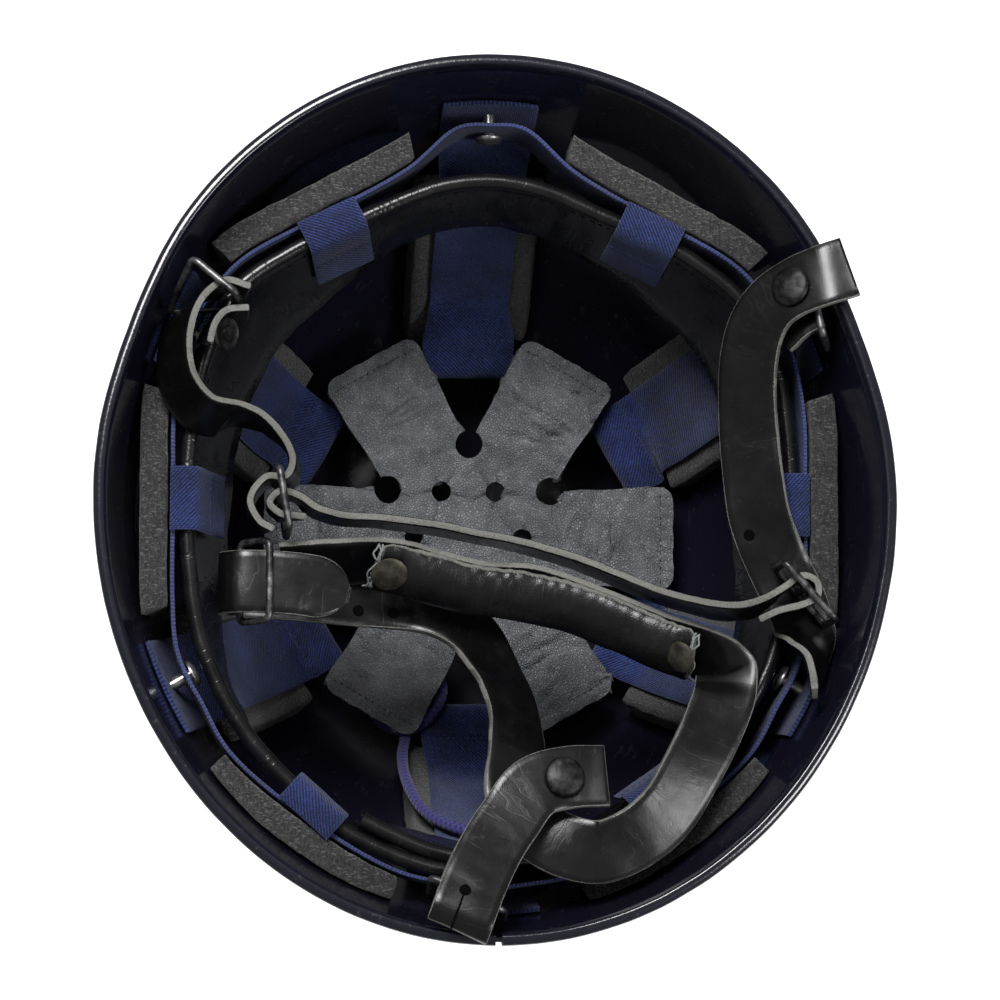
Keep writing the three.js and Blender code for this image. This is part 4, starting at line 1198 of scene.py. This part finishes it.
chinStrap = [
    (-60, -5.4, 140, 90, 86), (-64, -5, 141.4, 80, 88), (-68, -4.6, 142, 60, 88), (-71.6, -1, 142, 0, 88),
    (-68, 3.2, 142, 290, 88), (-62, 1.8, 141.4, 245, 88), (-56, -2, 139.6, 255, 88),
    (-48, -4, 136.6, 262, 88), (-33, -4.4, 133, 272, 88), (-18, -5.8, 130, 262, 86), (-3, -8.2, 128, 258, 86),
    (10, -10.6, 127.6, 255, 86), (24, -14.4, 128.4, 252, 86), (38, -20, 130.6, 250, 86),
    (51, -26, 137.4, 250, 86), (62, -30.6, 145, 255, 86), (71, -33.4, 153, 262, 86),
    (78.4, -34.2, 159.2, 275, 87), (85, -32.4, 163.4, 290, 87), (91, -29.2, 165.4, 298, 88),
    (96.8, -25.6, 166, 280, 88), (101.5, -27.6, 166, 210, 88), (101.5, -32.2, 166, 150, 88),
    (96.6, -34.9, 165.8, 105, 88), (90, -36.4, 164, 98, 88), (84, -39, 161.6, 110, 88),
]
napeStrap = [
    (-68, -13.8, 137.6, 272, 48), (-61, -13.2, 137, 272, 48), (-48, -12, 135.2, 272, 50),
    (-38, -11.4, 133.6, 268, 52), (-25, -12.6, 131.6, 258, 54), (-13, -15.8, 129.8, 255, 54),
    (0, -18.6, 128.6, 262, 54), (15, -19.2, 128, 262, 54), (36, -26, 129, 250, 54), (58, -35.4, 133, 245, 50),
    (71, -40, 138, 240, 44), (79.6, -44.6, 142, 225, 32), (85, -51, 145, 200, 20),
    (85.2, -58.6, 147, 184, 12), (83.6, -66, 149, 168, 2), (78, -79, 150.6, 152, -6),
    (71, -92, 151.6, 144, -12), (63, -105, 152, 135, -14), (51, -116, 152.4, 118, -12),
    (35, -122.6, 152.6, 104, -8), (21, -121, 153, 80, -2), (9, -115, 153, 50, 4), (0, -106, 152.6, 22, 8),
    (-3, -93, 150.6, 4, 14), (-1, -79, 145.6, 0, 26), (-0.4, -66, 136, 5, 40), (-4.4, -54, 126, 20, 44),
    (-11.4, -44.4, 119.6, 45, 36), (-20, -40, 116, 70, 26), (-32, -38.6, 115.4, 84, 14),
    (-45, -38, 117, 88, 6), (-60, -37, 120, 90, 2), (-74, -36.4, 123.4, 90, 0), (-82, -36.4, 127, 90, 0),
    (-86.4, -36.4, 134, 90, 0), (-82, -36.4, 140, 90, 0), (-72, -36.4, 140.6, 90, 0),
    (-60, -37.4, 140.2, 90, 0), (-48, -40, 138.6, 92, 0),
]
rightStrap = [
    (112, 73, 172, 100, 6), (104, 70.4, 171.4, 100, 8), (95, 67, 166, 104, 16), (88, 62, 161.5, 128, 26),
    (84, 55, 158, 155, 32), (82, 44, 154.5, 172, 34), (82, 33, 152, 178, 34), (82.6, 21, 150.6, 180, 30),
    (84, 8, 149.6, 184, 26), (86, -4, 148.2, 190, 20), (89.4, -13, 146.2, 200, 14),
    (93.6, -22, 144.4, 208, 8), (98, -31, 144, 214, 4), (100.6, -40, 145.8, 216, -8),
    (101.2, -48.6, 150, 212, -54), (101.6, -56, 155.4, 208, -78), (101.6, -62.4, 160, 204, -82),
]
rightTab = [
    (101, 64, 161.4, 100, 5), (96.4, 61, 158.6, 104, 12), (91, 56, 154.6, 118, 20),
]
rearStrap = [
    (35, -89, 156, 95, 14), (23, -89.6, 157, 95, 10), (12, -93, 159, 115, 8), (4, -103, 162, 145, 8),
    (-2, -112, 165.6, 152, 6), (-8, -124, 171, 155, 4), (-11.6, -133, 174, 156, 2),
    (-13, -137.2, 172.4, 156, 0), (-11.2, -132.2, 169.4, 156, 0), (-8.4, -126, 159, 156, 0),
    (-4, -117, 149.6, 152, 2), (2, -107.4, 145.4, 144, 4), (9, -100.6, 144.4, 130, 8),
    (16, -97.4, 142.6, 112, 20),
]
padRoute = [
    (-37, -20, 133), (-30, -21.2, 131.4), (-21, -23, 129.6), (-8, -26.6, 128), (9, -28.6, 127),
    (26.5, -32.4, 127.4), (41, -38, 129), (53.6, -43.8, 131.6), (62, -47.4, 135), (65.6, -49, 137.4),
]


# A strap along its route; a tip is the length of its rounded end
def leatherStrap(name, node, rows, steps, seed, hold=0.0, width=leather["width"], tip=0.0):
    frames = routeFrames(rows, steps, hold, width)
    lengths = [0] + [(b[0] - a[0]).length for a, b in zip(frames, frames[1:])]
    total, run, breadths = sum(lengths), 0.0, []
    for length in lengths:
        run += length
        inTip = max(0, 1 - (total - run) / tip) if tip else 0
        breadths.append(max(0.25, math.sqrt(1 - min(inTip, 1) ** 2)))

    def wave(along, x):
        swell = leather["wave"] * grain((along, x, seed), leather["waveSize"])
        return swell + leather["ripple"] * grain((along, x * 0.5, seed), leather["rippleSize"])

    mesh = bmesh.new()
    ribbon(mesh, frames, width, leather["thickness"], breadths, wave, count=11)
    finish(name, mesh, "strap", [node], "black_leather", sharp=55)
    return frames


# A near-black disc on the strap face over each hole: painted shade standing in for the hole's depth
def addHole(mesh, frames, share, across):
    at, side, rise = frames[round(share * (len(frames) - 1))]
    facing, radius = upward(rise), leather["holeRadius"]
    centre = at + side * across + facing * (leather["thickness"] / 2 + 0.1)
    profile = [(0, 0.28), (radius * 0.85, 0.28), (radius, 0.4), (radius + 0.3, 0.2), (radius + 0.4, -0.4)]
    lathe(mesh, profile, centre, facing, 16)


# The slit is a row of near-black bars on the strap face: painted shade in the cut
def addSlit(mesh, frames, first, last):
    for index in range(first, last, 2):
        at, side, rise = frames[index]
        along = (frames[index + 1][0] - frames[index - 1][0]).normalized()
        seat = at + side * leather["slitSide"] + upward(rise) * leather["thickness"] / 2
        stitchRow(mesh, [(seat, along, rise)], leather["slitLength"], leather["slitRadius"])


def addStud(name, node, frame, radius=stud["radius"], height=stud["height"], lift=stud["lift"], look="stud"):
    at, _, rise = frame
    facing = upward(rise)
    profile = [(0, 0), (radius * 0.92, 0), (radius, height * 0.22)]
    profile += [(radius * math.cos(turn(a)), height * (0.3 + 0.7 * math.sin(turn(a)))) for a in stud["angles"]]
    mesh = bmesh.new()
    lathe(mesh, profile + [(0, height)], at + facing * lift, facing, 36)
    finish(name, mesh, look, [node], "dark_stud")


# The snap on the left tab leans upwards
def addSnap(frame):
    at, _, rise = frame
    inward = rise if rise.x > 0 else -rise
    profile = [(0, -1.4), (4, -1.4), (5.6, 0), (5.8, 0.6), (5, 1.2), (4.4, 0.9), (2.6, 0.9), (2.2, 1.8), (0, 2)]
    mesh = bmesh.new()
    lathe(mesh, profile, at + inward * 4.6 + up * 3, (inward + up).normalized(), 32)
    finish("leftSnap", mesh, "stud", slot="dark_stud")


def addHarness():
    leatherStrap("leftSideLeather", "left_side_strap", leftStrap, 200, 1, hold=0.5)
    tab = leatherStrap("leftTabLeather", "left_anchor_tab", leftTab, 40, 2, hold=0.5)
    right = leatherStrap("rightSideLeather", "right_side_strap", rightStrap, 200, 3, tip=14)
    leatherStrap("rightTabLeather", "right_anchor_tab", rightTab, 30, 4)
    leatherStrap("chinLeather", "chin_strap", chinStrap, 260, 5, hold=0.5, width=leather["beltWidth"])
    nape = leatherStrap("napeLeather", "nape_strap", napeStrap, 420, 6, hold=0.5, tip=12)
    rear = leatherStrap("rearLeather", "rear_anchor_strap", rearStrap, 170, 7)
    addStud("rightStud", "right_anchor_stud", right[25])
    addStud("rearStud", "rear_anchor_stud", rear[15])
    mesh = newMesh()
    for frames, share, across in ((nape, 0.76, -5), (nape, 0.783, -5), (right, 0.594, 4.9), (rear, 0.404, 2)):
        addHole(mesh, frames, share, across)
    addSlit(mesh, rear, 71, 91)
    finish("strapHoleShade", mesh, "hole", slot="black_leather")
    addSnap(tab[-9])


# The chin pad: half widths and half thicknesses at even spaces from each end to the full section
chinPad = {
    "halves": [7.4, 9, 9, 9, 9, 9], "thicks": [1.4, 1.8, 2, 3.4, 4, 4], "space": 10.5, "endSteps": 42, "steps": 210,
    "sides": 48, "bearing": 252, "dip": 35, "foldPitch": 4.6, "foldDepth": 0.028, "lump": 0.05, "fill": 0.6,
}
tornThread = {
    "radius": 0.32, "strands": 3, "points": 13, "steps": 60, "reach": 7.6, "gap": 0.7, "wander": 2.6, "lift": 2.4,
}


def addChinPad(frames):
    rings, lays = [], []
    run, previous = 0.0, frames[0][0]
    sides, halves, thicks = chinPad["sides"], chinPad["halves"], chinPad["thicks"]
    angles = [fullTurn * side / sides for side in range(sides)]
    seam = [0.9 * smoothed(-math.cos(angle), 0.93, 0.995) for angle in angles]
    for index, (at, across, rise) in enumerate(frames):
        run += (at - previous).length
        previous = at
        end = min(index, len(frames) - 1 - index, chinPad["endSteps"]) / chinPad["space"]
        low = min(int(end), 4)
        half, thick = mixed(halves[low], halves[low + 1], end - low), mixed(thicks[low], thicks[low + 1], end - low)
        gather = smoothed(end, 1, 3)
        points = []
        for angle in angles:
            x, y = math.cos(angle), math.sin(angle)
            folds = math.sin(run * fullTurn / chinPad["foldPitch"] + 4 * grain((run, x * 4, 1), 9) + 1.5 * x)
            folds *= smoothed(-x, -0.6, 0.5) * (0.55 + 0.9 * grain((run, 0, 5), 18))
            lump = chinPad["foldDepth"] * folds + chinPad["lump"] * grain((run, x * 8, y * 8), 9)
            swell = 1 + gather * lump
            points.append(at + across * x * half * swell - rise * y * thick * swell * (1 + 0.1 * gather))
        rings.append(points)
        raw = 1 - smoothed(end, 0.1, 0.5)
        lays.append([Vector((run, side / sides * 36, max(raw, seam[side]))) for side in range(sides)])
    mesh = bmesh.new()
    skinRings(mesh, rings, lays)
    piece = finish("chinPadLeather", mesh, "pad", ["chin_pad"], "black_leather", sharp=70)


# Loose threads lie over the torn ends of the pad; an end is its frame and one further in
def addTornThreads(frames, ends):
    mesh = newMesh()
    for end, further in ends:
        at, across, rise = frames[end]
        outward = (at - frames[further][0]).normalized()
        for strand in range(tornThread["strands"]):
            points = []
            for step in range(tornThread["points"]):
                share = step / 6 - 1
                stray = tornThread["wander"] * grain((step * 1.9, strand * 5, tornThread["reach"]), 4)
                rising = tornThread["lift"] * math.sqrt(max(1 - share * share, 0))
                rising += 0.5 * grain((step * 2.3, strand, 8), 3)
                stray += 0.4 + strand * tornThread["gap"]
                seat = at + across * share * (tornThread["reach"] + 0.6)
                points.append(seat + upward(rise) * rising + outward * stray)
            route = routeFrames([(*point, 0, 90) for point in points], tornThread["steps"])
            tube(mesh, route, tornThread["radius"], 8)
    finish("tornThreads", mesh, "fray", slot="black_leather", sharp=60)


addHarness()
padFrames = routeFrames([(*row, chinPad["bearing"], chinPad["dip"]) for row in padRoute], chinPad["steps"])
addTornThreads(padFrames, [(1, 5), (-2, -6)])
addChinPad(padFrames)
addStud("chinRivetLeft", "chin_pad_rivet_left", padFrames[14], 6, 1.3, 3.6, "rivet")
addStud("chinRivetRight", "chin_pad_rivet_right", padFrames[-13], 5.2, 1.3, 3.6, "rivet")
print("harness made")

# Wire hardware
wire = {"radius": 1.2, "bend": 2.6, "sides": 12}


def wireThrough(mesh, corners):
    spots = [Vector(corner) for corner in corners]
    middle = sum(spots, Vector()) / len(spots)
    facing = (spots[0] - middle).cross(spots[1] - middle).normalized()
    path = []
    for index, spot in enumerate(spots):
        before, after = spots[index - 1], spots[(index + 1) % len(spots)]
        start = spot + (before - spot).normalized() * wire["bend"]
        end = spot + (after - spot).normalized() * wire["bend"]
        for share in (0, 0.17, 0.33, 0.5, 0.67, 0.83, 1):
            path.append(start * (1 - share) ** 2 + spot * 2 * share * (1 - share) + end * share ** 2)
    frames = []
    for index, at in enumerate(path):
        run = path[(index + 1) % len(path)] - path[index - 1]
        frames.append((at, run.cross(facing).normalized(), facing))
    tube(mesh, frames, wire["radius"], wire["sides"], joined=True)


def addWireRing(name, node, corners):
    mesh = bmesh.new()
    wireThrough(mesh, corners)
    finish(name, mesh, "steel", [node], "steel", sharp=60)


# An upright frame from start to end with a bar; bar is how far along it stands, from 0 to 1
def addBuckle(name, node, start, end, top, height, bar):
    start, end = Vector((*start, 0)), Vector((*end, 0))
    run = end - start
    middle, length, along = (start + end) / 2, run.length, run.normalized()
    centre = middle + up * (top - height / 2)
    corners = [centre + along * x * length / 2 + up * z * height / 2 for x, z in ((1, 1), (-1, 1), (-1, -1), (1, -1))]
    mesh = bmesh.new()
    wireThrough(mesh, corners)
    post = centre + along * (bar - 0.5) * length
    half = (height - 0.4) / 2
    side = along.cross(up)
    tube(mesh, [(post + up * z, along, side) for z in (-half, 0, half)], wire["radius"], wire["sides"])
    finish(name, mesh, "steel", [node], "steel", sharp=60)


addWireRing("leftAnchorWire", "left_anchor_ring", [
    (-83, 61.8, 168.4), (-97, 73.5, 166.6), (-104.6, 59.8, 145.4), (-84, 61.4, 143.2),
])
addWireRing("rightAnchorWire", "right_anchor_ring", [
    (99.3, 78.3, 164.4), (104.1, 52.2, 167.4), (108.5, 49.5, 152), (98.5, 72.5, 151),
])
addWireRing("rearAnchorWire", "rear_anchor_ring", [
    (-21, -121.3, 166), (1.8, -131.5, 166), (3, -134, 151), (-20.5, -127.5, 151),
])
addWireRing("napeBuckleWire", "nape_buckle", [
    (-71.4, -13.4, 143.6), (-71.4, -39, 143.6), (-80.6, -39, 133.4), (-80.6, -13.4, 133.4),
])
addBuckle("leftBuckleWire", "left_buckle", (-68.6, 9.6), (-65.4, -9.6), 150, 30, 0.55)
addBuckle("rightBuckleWire", "right_buckle", (91, -21.6), (107, -39.6), 168.4, 19.8, 0.44)
print("hardware made")


# Floor and light, in metres
stage = {"floor": 4, "dark": (0.9, 0.9, 0.9), "light": (0.92, 0.92, 0.92), "patch": 300, "glow": 0.72, "sky": 0.24}


def floorLook():
    return {
        "Base Color": clouds(placed(), stage["patch"]).blend(stage["dark"], stage["light"]), "Roughness": 0.95,
        "Specular IOR Level": 0.1, "Emission Color": (1, 1, 1), "Emission Strength": stage["glow"],
    }


def addFloor():
    mesh = bmesh.new()
    bmesh.ops.create_grid(mesh, x_segments=1, y_segments=1, size=stage["floor"])
    data = bpy.data.meshes.new("floor")
    mesh.to_mesh(data)
    mesh.free()
    data.materials.append(newMaterial("floorPaper", floorLook))
    floor = bpy.data.objects.new("floor", data)
    bpy.context.scene.collection.objects.link(floor)


def addLight(name, place, target, size, power):
    data = bpy.data.lights.new(name, "AREA")
    data.shape, data.size, data.energy = "SQUARE", size, power
    light = bpy.data.objects.new(name, data)
    facing = Vector(target) - Vector(place)
    light.matrix_world = Matrix.Translation(Vector(place)) @ facing.to_track_quat("-Z", "Y").to_matrix().to_4x4()
    bpy.context.scene.collection.objects.link(light)


def addWorld():
    world = bpy.data.worlds.new("world")
    world.use_nodes = True
    backdrop = world.node_tree.nodes["Background"]
    backdrop.inputs["Color"].default_value = (1, 1, 1, 1)
    backdrop.inputs["Strength"].default_value = stage["sky"]
    bpy.context.scene.world = world
    bpy.context.scene.view_settings.view_transform = "Standard"


addFloor()
addLight("overhead", (-0.35, 0.75, 1.5), (0, 0, 0.1), 0.62, 34)
addLight("side", (1.1, -0.5, 1.4), (0, 0, 0.1), 0.5, 13)
addWorld()
print("stage made")
